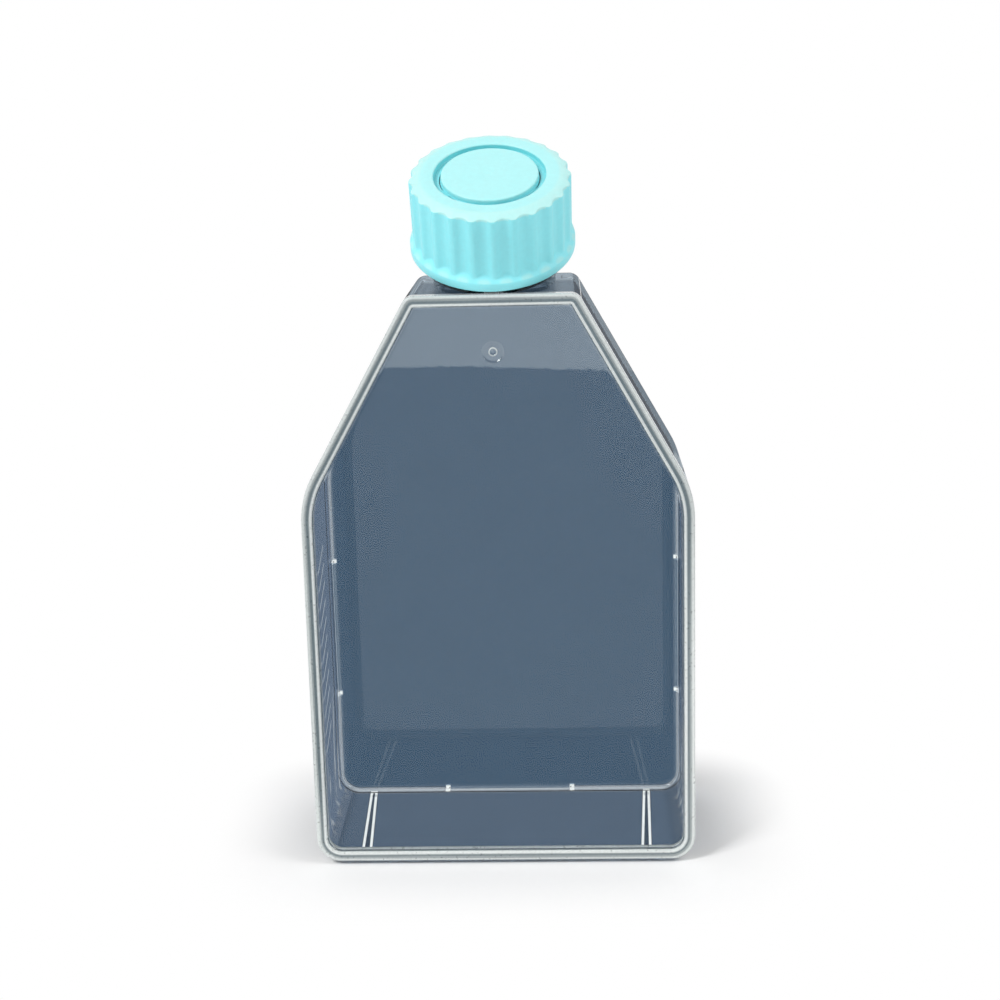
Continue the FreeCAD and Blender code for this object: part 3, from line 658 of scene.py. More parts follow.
def tray_tint(tree, tray, colours):
    """Each region of the tray takes its own tint, by its place."""
    across, deep, high = axes(tree)
    inside, inset, fillet, rim = (attribute(tree, name) for name in ("inside", "inset", "fillet", "rim"))
    inner_base, inner_left, inner_right, inner_shoulder = (
        tuple(whole * whole / outer for whole, outer in zip(tint, other)) for tint, other in (
            (colours.base_wall, colours.edge), (colours.side_walls, colours.outer_faces),
            (colours.base_wall, colours.outer_faces), (colours.shoulder_walls, colours.shoulder_faces)))
    raised = high.span(tray.shoulder - 1 * MM, tray.shoulder)
    inner_side = raised.blend((across > 0.0).blend(inner_left, inner_right), inner_shoulder)
    outer_side = raised.blend(colours.outer_faces, colours.shoulder_faces)
    round_start = tray.width / 2 - tray.base_corner
    rounded = abs(across).span(round_start, round_start + tray.base_corner / 2) * 0.6
    outer_base = rounded.blend(colours.edge, colours.shoulder_faces)
    floor = tray.base + tray.wall
    upright = high.span(floor + 0.3 * MM, floor + 0.5 * MM)
    walls = inside.blend(upright.blend(outer_base, outer_side), upright.blend(inner_base, inner_side))

    marks = graduations(tray, deep, high) * ((across < 0.0) * FAINT)
    # Painted highlight lines along the foot bars' edges, and painted shade over the bars and their borders.
    lines, shade = (mask * inside for mask in bar_outlines(tray, across, deep, high))
    shaded = shade.blend(walls, tuple(part * 0.35 for part in inner_base))
    lighter = marks.most(scuffs(tree, high)) * inside
    marked = lighter.most(lines).blend(shaded, colours.edge)

    # Painted reflection: above a sloping, wavy line the growth wall takes the lighter reflection tint.
    reflection_band_low = 107.4 * MM
    slope = (across + 10 * MM).most(0.0) * 0.045
    ragged = noise(tree, 110.0, 1.0, {"Vector": share_of_tray(tree)}) - 0.5
    level = high + slope + ragged * (1.6 * MM)
    growth_and_reflection_tint = level.span(reflection_band_low, reflection_band_low + 0.3 * MM).blend(colours.growth_wall,
                                                                        colours.reflection_band)
    soft = 0.1 * MM
    past_corner = inside.most(raised).most(inset.span(tray.ridge_inset - soft, tray.ridge_inset))
    inner_face = tray.growth_face - tray.wall
    back = past_corner * deep.span(inner_face - soft, inner_face - soft / 2)
    # The fillet's lighter tint is a painted highlight.
    eased = fillet.blend(back.blend(marked, growth_and_reflection_tint), colours.fillet)
    # Painted highlights: the ridge's crest (rim attribute) and the glints at the ridge's ends take the clear
    # edge tint.
    edge_highlighted = rim.most(ridge_end_glints(tray, across, deep, high)).blend(eased, colours.edge)

    near_ledge = inside * high.span(tray.ledge - 1.8 * MM, tray.ledge - 1.5 * MM)
    above = high.span(tray.ledge - 0.2 * MM, tray.ledge - 0.1 * MM)
    return above.blend(near_ledge.blend(edge_highlighted, colours.edge), colours.neck)


def scuffs(tree, high):
    """Faint upright rubbing marks low on the walls."""
    closeness = (700, 420, 60)
    stretch = node(tree, "ShaderNodeVectorMath", {0: object_place(tree), 1: closeness}, operation="MULTIPLY")
    rubs = noise(tree, 1.0, 3.0, {"Vector": stretch})
    low = high.span(2.2 * MM, 5 * MM) * high.below(12 * MM, 40 * MM)
    return rubs.span(0.5, 0.75) * low * FAINT


def ridge_end_glints(tray, across, deep, high):
    """1 on a painted glint: a clear spot at each end of the stacking ridge."""
    along = tray.ridge_inset + tray.ridge_width / 2
    beyond = RAMP / 2
    nearest = None
    for inwards in (along, along + 0.7 * MM):
        for spot_across, spot_high in ((tray.width / 2 - inwards, tray.side_gap_low - beyond),
                                       (tray.width / 2 - inwards, tray.side_gap_high + beyond),
                                       (tray.base_gap / 2 + beyond, tray.base + inwards)):
            away = abs(abs(across) - spot_across).most(abs(high - spot_high))
            nearest = nearest.least(away) if nearest else away
    return nearest.below(0.5 * MM, 0.6 * MM) * (deep > tray.growth_face - 2.4 * MM)


def bar_outlines(tray, across, deep, high):
    """1 on painted highlight lines round the outline of each foot bar, and 1 over the bar and its border,
    where shade is painted.
    """
    front, middle, half_length = foot_reach(tray)
    line = (deep - middle) * math.tan(tray.foot_splay) + tray.foot_spacing / 2
    beside = abs(abs(across) - line)
    half = (middle - deep) / half_length * tray.foot_taper + tray.foot_width / 2
    far_end = tray.growth_face - tray.wall - tray.inner_fillet + 0.3 * MM
    to_end = (far_end - deep).least(deep - front)
    off = beside.most(half - to_end * 0.4)
    lines = off.past(half - tray.foot_edge) * (1.0 - off.past(half + 0.06 * MM))
    shade = 1.0 - off.past(half + 0.22 * MM)
    low = high < tray.base + tray.wall + 0.15 * MM
    return lines * low, shade * low


def foot_reach(tray):
    """A foot bar's front end, its middle from front to back, and half its length."""
    front = PLATE_HIGH.y - 0.8 * MM + 0.6 * MM
    return front, (front + tray.growth_face - 0.6 * MM) / 2, (tray.growth_face - 0.6 * MM - front) / 2


def graduations(tray, deep, high):
    """1 on short level lines up a side wall."""
    level = high - (deep - tray.marks_front) * tray.marks_slope
    steps = (level - tray.marks_low) / tray.marks_pitch
    off_line = abs(steps - maths(deep.tree, "ROUND", steps)) * tray.marks_pitch
    upright = level.band(tray.marks_low - 1 * MM, tray.marks_high, 0.5 * MM)
    along = deep.band(tray.marks_front, tray.marks_back, 0.4 * MM)
    return off_line.below(0.2 * MM, 0.4 * MM) * upright * along


def contact_shadow_line(tray, high):
    """1 on the lowest edge of the bead, where a contact shadow is painted."""
    return high.below(tray.base + 0.2 * MM, tray.base + 0.4 * MM)


def plate_tint(tree, tray, colours):
    """Clear over the field, greyer along the bead, whose tint is a painted highlight, and with a dark line
    along the base that is a painted contact shadow.
    """
    rim = attribute(tree, "rim")
    low = contact_shadow_line(tray, axes(tree)[2]) * rim
    return low.blend(rim.blend(colours.plate, colours.bead), colours.line)


def clear_plastic(name, tint, tray, colours, ior=1.5, skin=0.0, grain=0.12):
    """Polystyrene: the tint function gives its colour, and skin a thin glossy coat."""
    material, tree, shader = new_material(name)
    add_mottle(tree, shader, tint(tree, tray, colours), 1100.0, grain, 0.01, 0.01)
    plug(tree, shader, {"Transmission Weight": 1.0, "IOR": ior, "Coat Weight": skin})
    return material


def cloudy_plastic(tray, colours):
    """Polystyrene clouded by welding, with streaks along the weld that follow the inset attribute; the light
    and dark lines across the bead are painted highlights and shade, lighter still on the right and low down.
    """
    name = "clouded polystyrene"
    if name in bpy.data.materials:
        return bpy.data.materials[name]
    material, tree, shader = new_material(name)
    inset = attribute(tree, "inset")
    across, _, high = axes(tree)
    place = {"Vector": object_place(tree), "W": inset * 1900.0}
    streaks = noise(tree, 22.0, 1.0, place, noise_dimensions="4D")
    # Painted light: the bead is whiter on the right and low down.
    right = across.span(0.0, 40 * MM) * high.below(45 * MM, 85 * MM)
    painted_light_side = right.most(high.below(4 * MM, 26 * MM)) * 0.18
    value = weld_highlight_lines(tree, inset) + (streaks - 0.5) * 1.3 + painted_light_side
    dark = tuple(part * share for part, share in zip(colours.seam, (0.12, 0.16, 0.185)))
    # A painted contact shadow darkens the lowest edge.
    tone = contact_shadow_line(tray, high).blend(value.span(0.0, 1.0).blend(dark, colours.seam), colours.line)
    add_mottle(tree, shader, tone, 1500.0, 0.2, 0.3, 0.1)
    plug(tree, shader, {"Transmission Weight": 0.25, "IOR": 1.5})
    return material


def weld_highlight_lines(tree, inset):
    """Painted highlight and shade lines across the weld's bead, from its outer edge inwards."""
    reach = 2.6 * MM
    ramp = node(tree, "ShaderNodeValToRGB", {"Fac": inset / reach})
    stops = ramp.color_ramp.elements
    stops[0].color, stops[1].color = (0.55, 0.55, 0.55, 1), (0.3, 0.3, 0.3, 1)
    for place, tone in ((0.3, 0.62), (0.55, 0.6), (0.85, 0.33), (1.1, 0.22), (1.3, 0.02), (1.6, 0.02),
                        (1.8, 0.5), (2.0, 0.72), (2.25, 0.66)):
        stops.new(place * MM / reach).color = (tone, tone, tone, 1)
    return Value(tree, ramp.outputs["Color"])


def cap_material(colours):
    """Satin cyan polyethylene with a faint grain, with a painted sheen that makes the top paler and painted
    shade that deepens the ring groove.
    """
    material, tree, shader = new_material("cyan polyethylene")
    # Painted sheen on the top and painted shade in the ring groove.
    tone = attribute(tree, "top").blend(colours.cap, colours.cap_top)
    tone = attribute(tree, "groove").blend(tone, colours.groove)
    add_mottle(tree, shader, tone, 900.0, 0.06, 0.42, 0.08, 0.12)
    plug(tree, shader, {"Subsurface Weight": 0.2, "Subsurface Radius": (0.4, 1.0, 1.0),
                        "Subsurface Scale": 0.8 * MM})
    return material


def membrane_material(colours):
    """Matt white film, pressed fibres."""
    material, tree, shader = new_material("membrane film")
    add_mottle(tree, shader, colours.membrane, 4000.0, 0.12, 0.85, 0.1, 0.6)
    return material


# -------------------- tray

class FLASK_OT_tray(bpy.types.Operator):
    """Tray with its stacking ridge, foot bars, neck, collar and thread"""
    bl_idname = "flask.tray"
    bl_label = "Tray and neck"

    def execute(self, context):
        sizes = context.scene.flask_tray
        plate = context.scene.flask_plate
        colours = context.scene.flask_colours
        rim_y = -plate.front + plate.bead_height + plate.thickness + plate.weld_gap
        tray = make_tray(sizes, rim_y)
        material = clear_plastic("clear polystyrene", tray_tint, sizes, colours, grain=0.1)
        walls = clear_plastic("clear polystyrene walls", tray_tint, sizes, colours, ior=UNBENT, skin=0.12)
        give_materials(tray, material)
        combine(tray, make_neck(sizes), "UNION")
        thread = make_thread("neck_thread", Radius=sizes.neck_radius + 0.3 * MM, Turns=1.35,
                             Start_height=2.6 * MM, Start_angle=0.0, Material=material)
        thread.data.transform(neck_matrix())
        combine(tray, thread, "UNION")
        for side in (-1, 1):
            combine(tray, make_foot_bar(sizes, side), "UNION")
        combine(tray, make_bore(sizes), "DIFFERENCE")
        give_materials(tray, material, walls, cloudy_plastic(sizes, colours))
        mark_walls(tray, sizes, rim_y)
        soften(tray)
        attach(tray, "flask")
        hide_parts("flask_body")
        return {"FINISHED"}


def make_tray(sizes, rim_y):
    """The open tray: outer shell, ridge, growth wall and cavity in one closed skin."""
    wall, back, fillet = sizes.wall, sizes.growth_face, sizes.inner_fillet
    inside = back - wall
    edge = 0.1 * MM
    ridge_a, ridge_b = sizes.ridge_inset, sizes.ridge_inset + sizes.ridge_width
    bm, rim_layer, fillet_layer, inside_layer, inset_layer = new_mesh("rim", "fillet", "inside", "inset")

    outer = [(wall, rim_y + edge, 0, 0.6), (wall - edge, rim_y, 0, 1), (edge, rim_y, 0, 1),
             (0, rim_y + edge, 0, 1), (0, rim_y + 0.8 * MM, 0, 0.3), (0, rim_y + 1.6 * MM, 0, 0),
             (0, back - 0.8 * MM, 0, 0), (0, back - 0.35 * MM, 0, 0), (edge, back - edge, 0, 0),
             (0.33 * MM, back, 0, 0)]
    # The rim values give the ridge's crest the clear edge tint, a painted highlight.
    outer += [(ridge_a + (ridge_b - ridge_a) * share_in, back, share_up, rim) for share_in, share_up, rim in (
        (0, 0, 0), (0.05, 0.45, 0), (0.15, 0.85, 0), (0.3, 1, 0.2), (0.7, 1, 1), (0.85, 0.85, 0.6),
        (0.95, 0.45, 0.2), (1, 0, 0))]
    outer += [(ridge_b + beyond, back, 0, 0) for beyond in (0.12 * MM, 0.25 * MM)]
    loops = []
    for inset, y, up, rim in outer:
        points = outline(sizes, inset)
        loop = add_loop(bm, [(x, y + up * present * sizes.ridge_height, z) for x, z, present in points],
                        [(rim_layer, rim), (inset_layer, inset)])
        if ridge_a - 0.01 * MM <= inset <= ridge_b + 0.2 * MM:
            for vert, (x, z, present) in zip(loop, points):
                # Painted glint: where the ridge ramps at a gap's end it takes the clear edge tint.
                ending = 1.0 if 0.01 < present < 0.99 else 0.0
                vert[rim_layer] = max(rim * present, ending) if z < sizes.shoulder else 0.0
        loops.append(loop)

    inner = [(wall + fillet + 0.5 * MM, inside, 0)]
    steps = 5
    for step in range(steps + 1):
        turn = math.radians(90 * step / steps)
        inner.append((wall + fillet * (1 - math.sin(turn)), inside - fillet * (1 - math.cos(turn)),
                      1 if 0 < step < steps else 0.3))
    inner += [(wall, inside - fillet - 1.5 * MM, 0), (wall, rim_y + 1.2 * MM, 0)]
    cavity = [add_loop(bm, [(x, y, z) for x, z, _ in outline(sizes, inset)],
                       [(fillet_layer, share), (inside_layer, 1.0)]) for inset, y, share in inner]
    bridge(bm, *loops)
    bridge(bm, *cavity)
    bridge(bm, cavity[-1], loops[0])
    bm.faces.new(loops[-1])
    bm.faces.new(cavity[0])
    return new_piece("tray", bm)


def mark_walls(tray, sizes, rim_y):
    """The flat walls and the welded rim get their own materials."""
    for face in tray.data.polygons:
        middle = face.center
        if middle.y < rim_y + 0.15 * MM and middle.z < sizes.ledge + 0.1 * MM and face.normal.y < -0.5:
            face.material_index = CLOUDED
        across, deep, up = (abs(part) for part in face.normal)
        upright = deep < 0.2 and (across > 0.6 or middle.z < sizes.base + sizes.base_corner)
        under = middle.z < sizes.base + 0.3 * MM
        between = rim_y + 0.3 * MM < middle.y < sizes.growth_face - 0.3 * MM
        ledge = up > 0.6 and middle.z < sizes.ledge + 0.02 * MM
        if between and (ledge if middle.z > sizes.ledge - 1.5 * MM else upright or under):
            face.material_index = FLAT


def make_neck(sizes):
    """The solid neck with its collar, cut level inside the ledge wall."""
    lip, foot = 0.45 * MM, -22 * MM
    below, top = -2.1 * MM, -0.5 * MM
    radius, collar, reach = sizes.neck_radius, sizes.collar_radius, sizes.neck_reach
    profile = [(0, foot), (radius, foot), (radius, below - 0.4 * MM)]
    profile += rounding(radius + 0.4 * MM, below - 0.4 * MM, 0.4 * MM, 180, 90, 3)[1:]
    profile += rounding(collar - 0.3 * MM, below + 0.3 * MM, 0.3 * MM, -90, 0, 3)
    profile += rounding(collar - lip, top - lip, lip, 0, 90, 4)
    profile += [(radius + 0.3 * MM, top), (radius, top + 0.3 * MM)]
    profile += rounding(radius - lip, reach - lip, lip, 0, 90, 5) + [(0, reach)]
    bm = revolve(profile)
    level = sizes.ledge - sizes.wall / 2
    cut = bmesh.ops.bisect_plane(bm, geom=bm.verts[:] + bm.edges[:] + bm.faces[:],
                                 plane_co=(0, 0, level), plane_no=(0, 0, 1), clear_inner=True)
    open_edges = [item for item in cut["geom_cut"] if isinstance(item, bmesh.types.BMEdge)]
    bmesh.ops.contextual_create(bm, geom=open_edges)
    return new_piece("neck", bm)


def make_bore(sizes):
    """The passage through the neck, flared at the mouth."""
    foot, flare, beyond = -18.5 * MM, 0.4 * MM, 1 * MM
    reach, radius = sizes.neck_reach, sizes.neck_bore
    profile = [(0, foot), (radius, foot), (radius, reach - flare)]
    profile += [(radius + flare * 0.1, reach - flare * 0.55), (radius + flare * 0.32, reach - flare * 0.18),
                (radius + flare * 0.7, reach + 0.02 * MM), (radius + flare, reach + beyond),
                (0, reach + beyond)]
    return new_piece("bore", revolve(profile))


def make_foot_bar(sizes, side):
    """A rounded bar from front to back under the base wall, sunk a little way into it."""
    half = sizes.foot_width / 2
    _, middle, half_length = foot_reach(sizes)
    reach = half_length - half
    edge, sole = 0.2 * MM, 0.03 * MM
    place = (Matrix.Translation((side * sizes.foot_spacing / 2, middle, 0))
             @ Matrix.Rotation(-side * sizes.foot_splay, 4, "Z"))
    bm = bmesh.new()
    loops = []
    for radius, height in ((half, sizes.base + 0.25 * MM), (half, edge), (half - edge * 0.3, edge * 0.3),
                           (half - edge, sole)):
        ends = []
        for turn in (*range(0, 180, 15), 179.99, *range(180, 360, 15), 359.99):
            end = -1 if turn < 180 else 1
            ends.append(((radius + end * sizes.foot_taper) * math.cos(math.radians(turn)),
                         -end * reach + radius * math.sin(math.radians(turn)), height))
        loops.append(add_loop(bm, [place @ Vector(end) for end in ends]))
    bridge(bm, *loops)
    bm.faces.new(loops[0])
    bm.faces.new(loops[-1])
    return new_piece("foot_bar", bm)


# -------------------- face plate

class FLASK_OT_face_plate(bpy.types.Operator):
    """Face plate with its bead, locating lip and gate mark"""
    bl_idname = "flask.face_plate"
    bl_label = "Face plate"

    def execute(self, context):
        tray = context.scene.flask_tray
        colours = context.scene.flask_colours
        plate = make_plate(tray, context.scene.flask_plate)
        give_materials(plate, clear_plastic("clear polystyrene bead", plate_tint, tray, colours),
                       clear_plastic("clear polystyrene plate", plate_tint, tray, colours, ior=1.2),
                       cloudy_plastic(tray, colours))
        soften(plate)
        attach(plate, "flask")
        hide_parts("face_plate")
        return {"FINISHED"}


def make_plate(tray, sizes):
    """One closed skin: bead, field with the gate mark, back face and locating lip."""
    front = -sizes.front
    field = front + sizes.bead_height
    back = field + sizes.thickness
    width, outer = sizes.bead_width, sizes.bead_round
    # The rim values give the bead its paler tint, a painted highlight.
    section = [(width + across * MM, field, rim) for across, rim in ((0.45, 0), (0.1, 0.5))]
    section += [(width - 0.02 * MM, field - 0.12 * MM, 1), (width - 0.1 * MM, front + 0.35 * MM, 1),
                (width - 0.25 * MM, front + 0.1 * MM, 1), (width - 0.5 * MM, front, 1), (outer, front, 1)]
    steps = 5
    for turn in (math.radians(90 * step / steps) for step in range(1, steps + 1)):
        section.append((outer * (1 - math.sin(turn)), front + outer * (1 - math.cos(turn)), 1))
    section += [(0, back - 0.08 * MM, 1), (0.08 * MM, back, 1)]
    section += [(tray.wall + across * MM, back + up * MM, rim) for across, up, rim in (
        (0.1, 0, 0.8), (0.1, 0.7, 0.8), (0.2, 0.8, 0.8), (0.8, 0.8, 0.8), (0.9, 0.7, 0.8), (0.9, 0.05, 0.6),
        (1.0, 0, 0.2), (1.4, 0, 0))]
    bm, rim_layer, inset_layer = new_mesh("rim", "inset")
    loops = [add_loop(bm, [(x, y, z) for x, z, _ in outline(tray, inset)],
                      [(rim_layer, rim), (inset_layer, inset)]) for inset, y, rim in section]
    bridge(bm, *loops)
    bm.faces.new(loops[-1]).material_index = FLAT
    for face in bm.faces:
        deep = face.calc_center_median().y
        welded = abs(deep - back) < 0.06 * MM or deep < front + 0.45 * MM
        if welded and face.material_index != FLAT:
            face.material_index = CLOUDED
    gate = make_gate_mark(bm, sizes, field)
    borders = edge_loop(bm, loops[0]) + edge_loop(bm, gate)
    filled = bmesh.ops.triangle_fill(bm, use_beauty=True, edges=borders)
    for face in filled["geom"]:
        if isinstance(face, bmesh.types.BMFace):
            face.material_index = FLAT
    return new_piece("welded_plate", bm)


def make_gate_mark(bm, sizes, field):
    """The dish and ring where the plate was filled; gives back its outermost loop."""
    dish = sizes.gate_dish
    profile = [(dish + 0.12 * MM, 0), (dish, 0.06), (dish - 0.2 * MM, 0.26), (dish - 0.35 * MM, 0.3)]
    profile += [(radius * MM, depth) for radius, depth in (
        (1.1, 0.3), (0.95, 0.26), (0.88, 0), (0.75, -0.05), (0.6, -0.05), (0.5, 0.02), (0.42, 0.35),
        (0.3, 0.42))]
    loops = [add_loop(bm, [(x, field + depth * MM, sizes.gate_height + z) for x, z in circle(radius)])
             for radius, depth in profile]
    ring = (5, 6)  # the steps of the profile that are clouded
    for index, (first, second) in enumerate(zip(loops, loops[1:])):
        for face in bridge(bm, first, second):
            face.material_index = CLOUDED if index in ring else THICK
    bm.faces.new(loops[-1])
    return loops[0]


# -------------------- cap and membrane

class FLASK_OT_cap(bpy.types.Operator):
    """Screw cap: one fluted sector, repeated round the axis, with its vent slots and thread"""
    bl_idname = "flask.cap"
    bl_label = "Ribbed cap"

    def execute(self, context):
        sizes = context.scene.flask_cap
        material = cap_material(context.scene.flask_colours)
        tree = repeat_tree()
        cap = make_cap_sector(sizes)
        run_tree(cap, tree, Count=sizes.flutes, Material=material)
        slots = make_vent_slot(sizes)
        run_tree(slots, tree, Count=6, Material=material)
        combine(cap, slots, "DIFFERENCE")
        thread = make_thread("cap_thread", Radius=sizes.bore - 0.2 * MM, Turns=1.1,
                             Start_height=2.4 * MM, Start_angle=math.pi / 2, Material=material)
        combine(cap, thread, "UNION")
        give_materials(cap, material)
        cap.data.transform(neck_matrix())
        soften(cap, sharpest=40)
        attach(cap, "cap")
        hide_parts("cap_shell")
        return {"FINISHED"}


def rib_radius(sizes, turn):
    """Radius of the skirt at an angle from the middle of a flute, ribs rounded into it."""
    centre = sizes.flute_floor + sizes.flute_round
    under_root = sizes.flute_round ** 2 - (centre * math.sin(turn)) ** 2
    flute = centre * math.cos(turn) - math.sqrt(max(under_root, 0))
    blend = 0.35 * MM
    share = min(max(0.5 + 0.5 * (sizes.radius - flute) / blend, 0), 1)
    return sizes.radius * (1 - share) + flute * share - blend * share * (1 - share)


def cap_section(sizes, turn):
    """The closed section of the cap at an angle from the middle of a flute, from the top's middle round."""
    top, disc, groove = sizes.height, sizes.disc_radius, sizes.groove_outer
    crown, band, bore, ceiling = sizes.crown_radius, sizes.band_radius, sizes.bore, sizes.ceiling
    floor = top - sizes.groove_depth
    rib = rib_radius(sizes, turn)
    edge, small = 0.35 * MM, 0.12 * MM
    fall = sizes.crown_drop / (sizes.radius - crown)
    points = [(0, top - small), (0.5 * MM, top - 0.11 * MM), (0.85 * MM, top - 0.02 * MM), (1.0 * MM, top),
              (4 * MM, top), (7 * MM, top), (disc - 0.7 * MM, top)]
    points += rounding(disc - edge, top - edge, edge, 90, 0, 4)
    points += [(disc, floor + small), (disc + small, floor)]
    points += [(groove - small, floor), (groove, floor + small)]
    points += rounding(groove + edge, top - edge, edge, 180, 90, 4)
    points += [(groove + 0.8 * MM, top), (crown - 0.6 * MM, top), (crown + 0.1 * MM, top - 0.05 * MM)]
    outer_top = top - fall * (rib - crown)
    points += [(crown + (rib - edge - crown) * share, top - fall * (rib - edge - crown) * share)
               for share in (0.4, 0.75)]
    points += [(rib - edge * (1 - math.sin(lean)), outer_top - edge * (1 - math.cos(lean)))
               for lean in map(math.radians, (8, 30, 55, 75, 90))]
    toe = sizes.band_height + (band - rib) / ((band - sizes.flute_floor) / sizes.toe_height)
    start = outer_top - edge
    points += [(rib, start + (toe + small - start) * share) for share in (0.04, 0.25, 0.5, 0.75, 0.96, 1)]
    points += [(rib + 0.06 * MM, toe - 0.04 * MM)]
    points += [(rib + (band - rib) * share, toe - (toe - sizes.band_height) * share)
               for share in (0.35, 0.7, 0.93)]
    points += [(band, sizes.band_height - 0.1 * MM), (band, 1.1 * MM)]
    points += rounding(band - edge, edge, edge, 0, -90, 4)
    points += [(bore + 0.3 * MM, 0), (bore, 0.3 * MM), (bore, 5 * MM), (bore, 10 * MM), (bore, ceiling)]
    seal, chamber, roof = 15.02 * MM, 11.4 * MM, ceiling + 0.9 * MM
    points += [(13.15 * MM, ceiling), (12.9 * MM, seal), (12.8 * MM, seal), (12.55 * MM, ceiling),
               (chamber, ceiling), (chamber, roof), (6 * MM, roof), (0, roof)]
    return points


def make_cap_sector(sizes):
    """One flute with half a rib on each side, as a wedge of the whole cap."""
    columns = 14
    half = math.pi / sizes.flutes
    bm, sheen_layer, groove_shade_layer = new_mesh("top", "groove")
    sheets = []
    for column in range(columns + 1):
        turn = half * (2 * column / columns - 1)
        angle = turn + sizes.flute_start
        in_flute = min(max((sizes.radius - rib_radius(sizes, turn)) / (0.5 * MM) - 0.3, 0), 1)
        sheets.append([])
        for radius, height in cap_section(sizes, turn):
            vert = bm.verts.new((radius * math.cos(angle), radius * math.sin(angle), height))
            # The top layer paints a sheen on the crown's edge, the top and the flutes' toes; the groove layer
            # paints shade in the ring groove.
            on_top = height > sizes.height - sizes.crown_drop - 0.2 * MM
            on_toe = radius > sizes.radius + 0.1 * MM and height > sizes.band_height + 0.05 * MM
            on_edge = on_top and radius > sizes.crown_radius
            vert[sheen_layer] = 1.0 if on_edge else 0.7 if on_top else 0.6 * in_flute if on_toe else 0.0
            below = sizes.height - 0.3 * MM - height
            in_groove = sizes.disc_radius + 0.05 * MM < radius < sizes.groove_outer + 0.3 * MM
            vert[groove_shade_layer] = 1.0 if 0 < below < sizes.groove_depth and in_groove else 0.0
            sheets[-1].append(vert)
    for left, right in zip(sheets, sheets[1:]):
        for corners in zip(left, left[1:], right[1:], right):
            bm.faces.new(corners)
    bmesh.ops.remove_doubles(bm, verts=bm.verts, dist=1e-7)
    return new_piece("ribbed_cap", bm)


def make_vent_slot(sizes):
    """A cutter for one curved slot in the floor of the ring groove."""
    spread, steps = 23, 12
    inner, outer = sizes.disc_radius + 0.15 * MM, 10.75 * MM
    border = rounding(0, 0, outer, -spread, spread, steps) + rounding(0, 0, inner, spread, -spread, steps)
    bm = bmesh.new()
    rings = [add_loop(bm, [(*place, height) for place in border])
             for height in (sizes.ceiling + 0.5 * MM, sizes.height - 0.5 * MM)]
    bridge(bm, *rings)
    for ring in rings:
        bm.faces.new(ring)
    return new_piece("vent_slots", bm)


class FLASK_OT_membrane(bpy.types.Operator):
    """Gives the vent membrane its fibrous white finish"""
    bl_idname = "flask.membrane"
    bl_label = "Vent membrane"

    def execute(self, context):
        membrane = frame["nodes"]["vent_membrane"]
        give_materials(membrane, membrane_material(context.scene.flask_colours))
        return {"FINISHED"}


# -------------------- studio

class FLASK_OT_studio(bpy.types.Operator):
    """Floor, soft light and camera"""
    bl_idname = "flask.studio"
    bl_label = "Studio"

    def execute(self, context):
        studio = context.scene.flask_studio
        make_floor(context.scene.flask_colours)
        make_world(context.scene, studio)
        add_lamp("key", place=(-0.7, -0.65, 0.95), size=0.35, strength=studio.key)
        add_lamp("fill", place=(0.85, -0.35, 0.8), size=0.5, strength=studio.fill)
        make_camera(context.scene, studio)
        context.scene.view_settings.view_transform = "Standard"
        return {"FINISHED"}


def make_floor(colours):
    """A pale floor that turns into the white backdrop further out."""
    bm = bmesh.new()
    bmesh.ops.create_grid(bm, x_segments=1, y_segments=1, size=4.0)
    floor = new_piece("floor", bm)
    material, tree, shader = new_material("studio floor")
    plug(tree, shader, {"Base Color": colours.floor, "Roughness": 0.9, "Specular IOR Level": 0.0})
    across, deep, _ = axes(tree)
    beside = {key: (abs(place) - half).most(0.0)
              for key, place, half in (("X", across, PLATE_HIGH.x), ("Y", deep, TRAY_HIGH.y))}
    away = node(tree, "ShaderNodeCombineXYZ", beside)
    distance = node(tree, "ShaderNodeVectorMath", {0: away}, operation="LENGTH").outputs["Value"]
    far = Value(tree, distance).span(2 * MM, 28 * MM)
    camera, glossy, through = light_paths(tree)
    mask = (camera * far).most(glossy.most(through))
    output = shader.outputs[0].links[0].to_node
    mix = node(tree, "ShaderNodeMixShader", {0: mask, 1: shader, 2: node(tree, "ShaderNodeEmission")})
    plug(tree, output, {"Surface": mix})
    give_materials(floor, material)


def light_paths(tree):
    """1 for a camera ray, for a glossy ray and for a transmission ray, in that order."""
    path = node(tree, "ShaderNodeLightPath").outputs
    return [Value(tree, path["Is %s Ray" % kind]) for kind in ("Camera", "Glossy", "Transmission")]


def make_world(scene, studio):
    """Soft light from all sides; the camera, gloss and clear plastic see plain white."""
    world = bpy.data.worlds.new("studio")
    scene.world = world
    world.use_nodes = True
    tree = world.node_tree
    tree.nodes.clear()
    soft, white = (node(tree, "ShaderNodeBackground", {"Color": (1, 1, 1), "Strength": strength})
                   for strength in (studio.sky, 1.0))
    camera, glossy, through = light_paths(tree)
    mix = node(tree, "ShaderNodeMixShader", {0: camera.most(glossy).most(through), 1: soft, 2: white})
    node(tree, "ShaderNodeOutputWorld", {"Surface": mix})


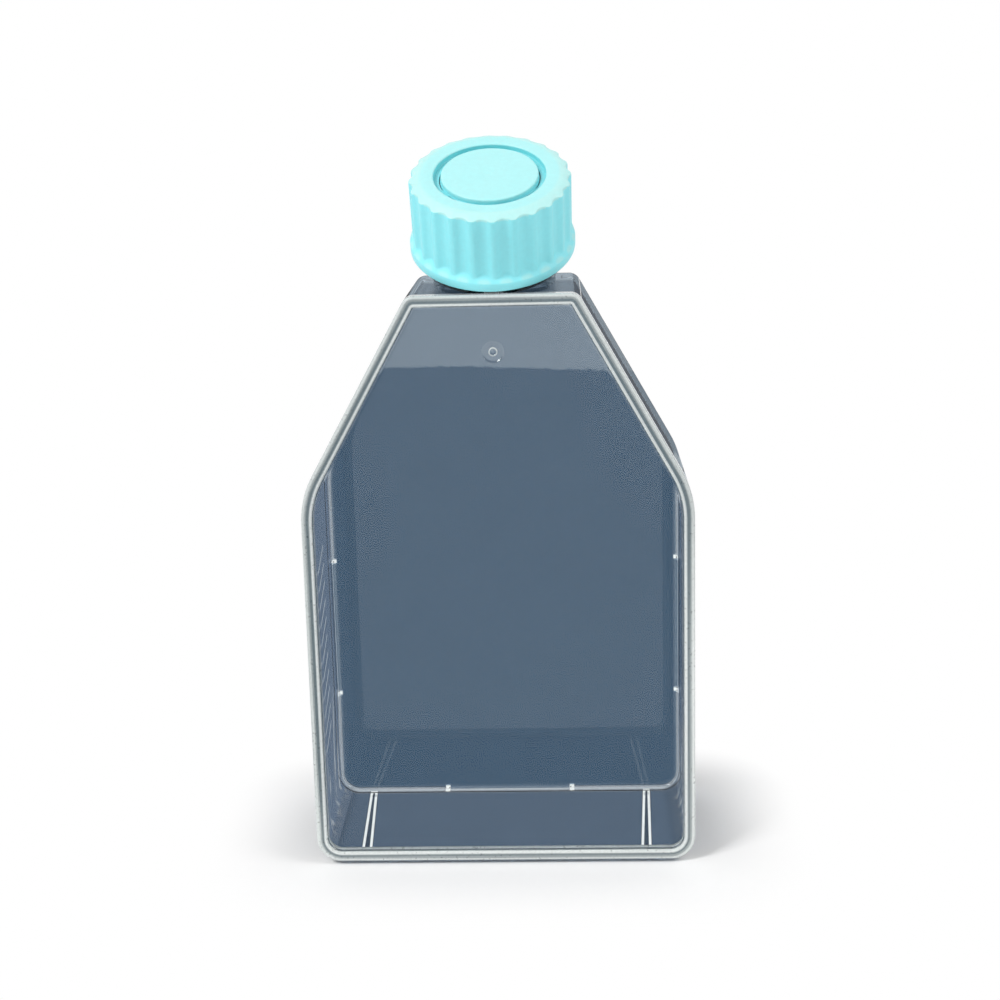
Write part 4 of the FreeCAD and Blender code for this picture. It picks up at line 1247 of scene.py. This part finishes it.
def add_lamp(name, place, size, strength):
    """A square soft lamp that looks at the middle of the flask."""
    lamp = bpy.data.lights.new(name, "AREA")
    lamp.size = size
    lamp.energy = strength
    holder = bpy.data.objects.new(name, lamp)
    bpy.context.scene.collection.objects.link(holder)
    holder.location = place
    aim = (Vector(cad_box[0]) + Vector(cad_box[1])) / 2 - Vector(place)
    holder.rotation_euler = aim.to_track_quat("-Z", "Y").to_euler()


def make_camera(scene, studio):
    camera = bpy.data.cameras.new("camera")
    holder = bpy.data.objects.new("camera", camera)
    scene.collection.objects.link(holder)
    scene.camera = holder
    camera.lens = studio.lens
    camera.shift_y = studio.shift
    flat = math.cos(studio.elevation)
    back = Vector((math.sin(studio.azimuth) * flat, -math.cos(studio.azimuth) * flat,
                   math.sin(studio.elevation)))
    holder.location = Vector(studio.target) + back * studio.distance
    holder.rotation_mode = "QUATERNION"
    level = (-back).to_track_quat("-Z", "Y")
    holder.rotation_quaternion = level @ Matrix.Rotation(studio.roll, 4, "Z").to_quaternion()


class FLASK_PT_panel(bpy.types.Panel):
    """Lists the flask's pieces, sizes and colours"""
    bl_idname = "FLASK_PT_panel"
    bl_label = "Cell culture flask"
    bl_space_type = "VIEW_3D"
    bl_region_type = "UI"
    bl_category = "Flask"

    def draw(self, context):
        for operator in PIECES:
            self.layout.operator(operator.bl_idname)
        for name, kind in GROUPS.items():
            column = self.layout.column(align=True)
            for key in kind.__annotations__:
                column.prop(getattr(context.scene, name), key)


GROUPS = {"flask_tray": TraySizes, "flask_plate": PlateSizes, "flask_cap": CapSizes,
          "flask_colours": FlaskColours, "flask_studio": StudioSettings}
PIECES = (FLASK_OT_tray, FLASK_OT_face_plate, FLASK_OT_cap, FLASK_OT_membrane, FLASK_OT_studio)


def register():
    for group in (*GROUPS.values(), *PIECES, FLASK_PT_panel):
        bpy.utils.register_class(group)
    for name, group in GROUPS.items():
        setattr(bpy.types.Scene, name, PointerProperty(type=group))


def unregister():
    for name in GROUPS:
        delattr(bpy.types.Scene, name)
    for group in (FLASK_PT_panel, *reversed(PIECES), *reversed(GROUPS.values())):
        bpy.utils.unregister_class(group)


def main():
    register()
    bpy.ops.flask.tray()
    bpy.ops.flask.face_plate()
    bpy.ops.flask.cap()
    bpy.ops.flask.membrane()
    bpy.ops.flask.studio()


if __name__ == "__main__":
    main()
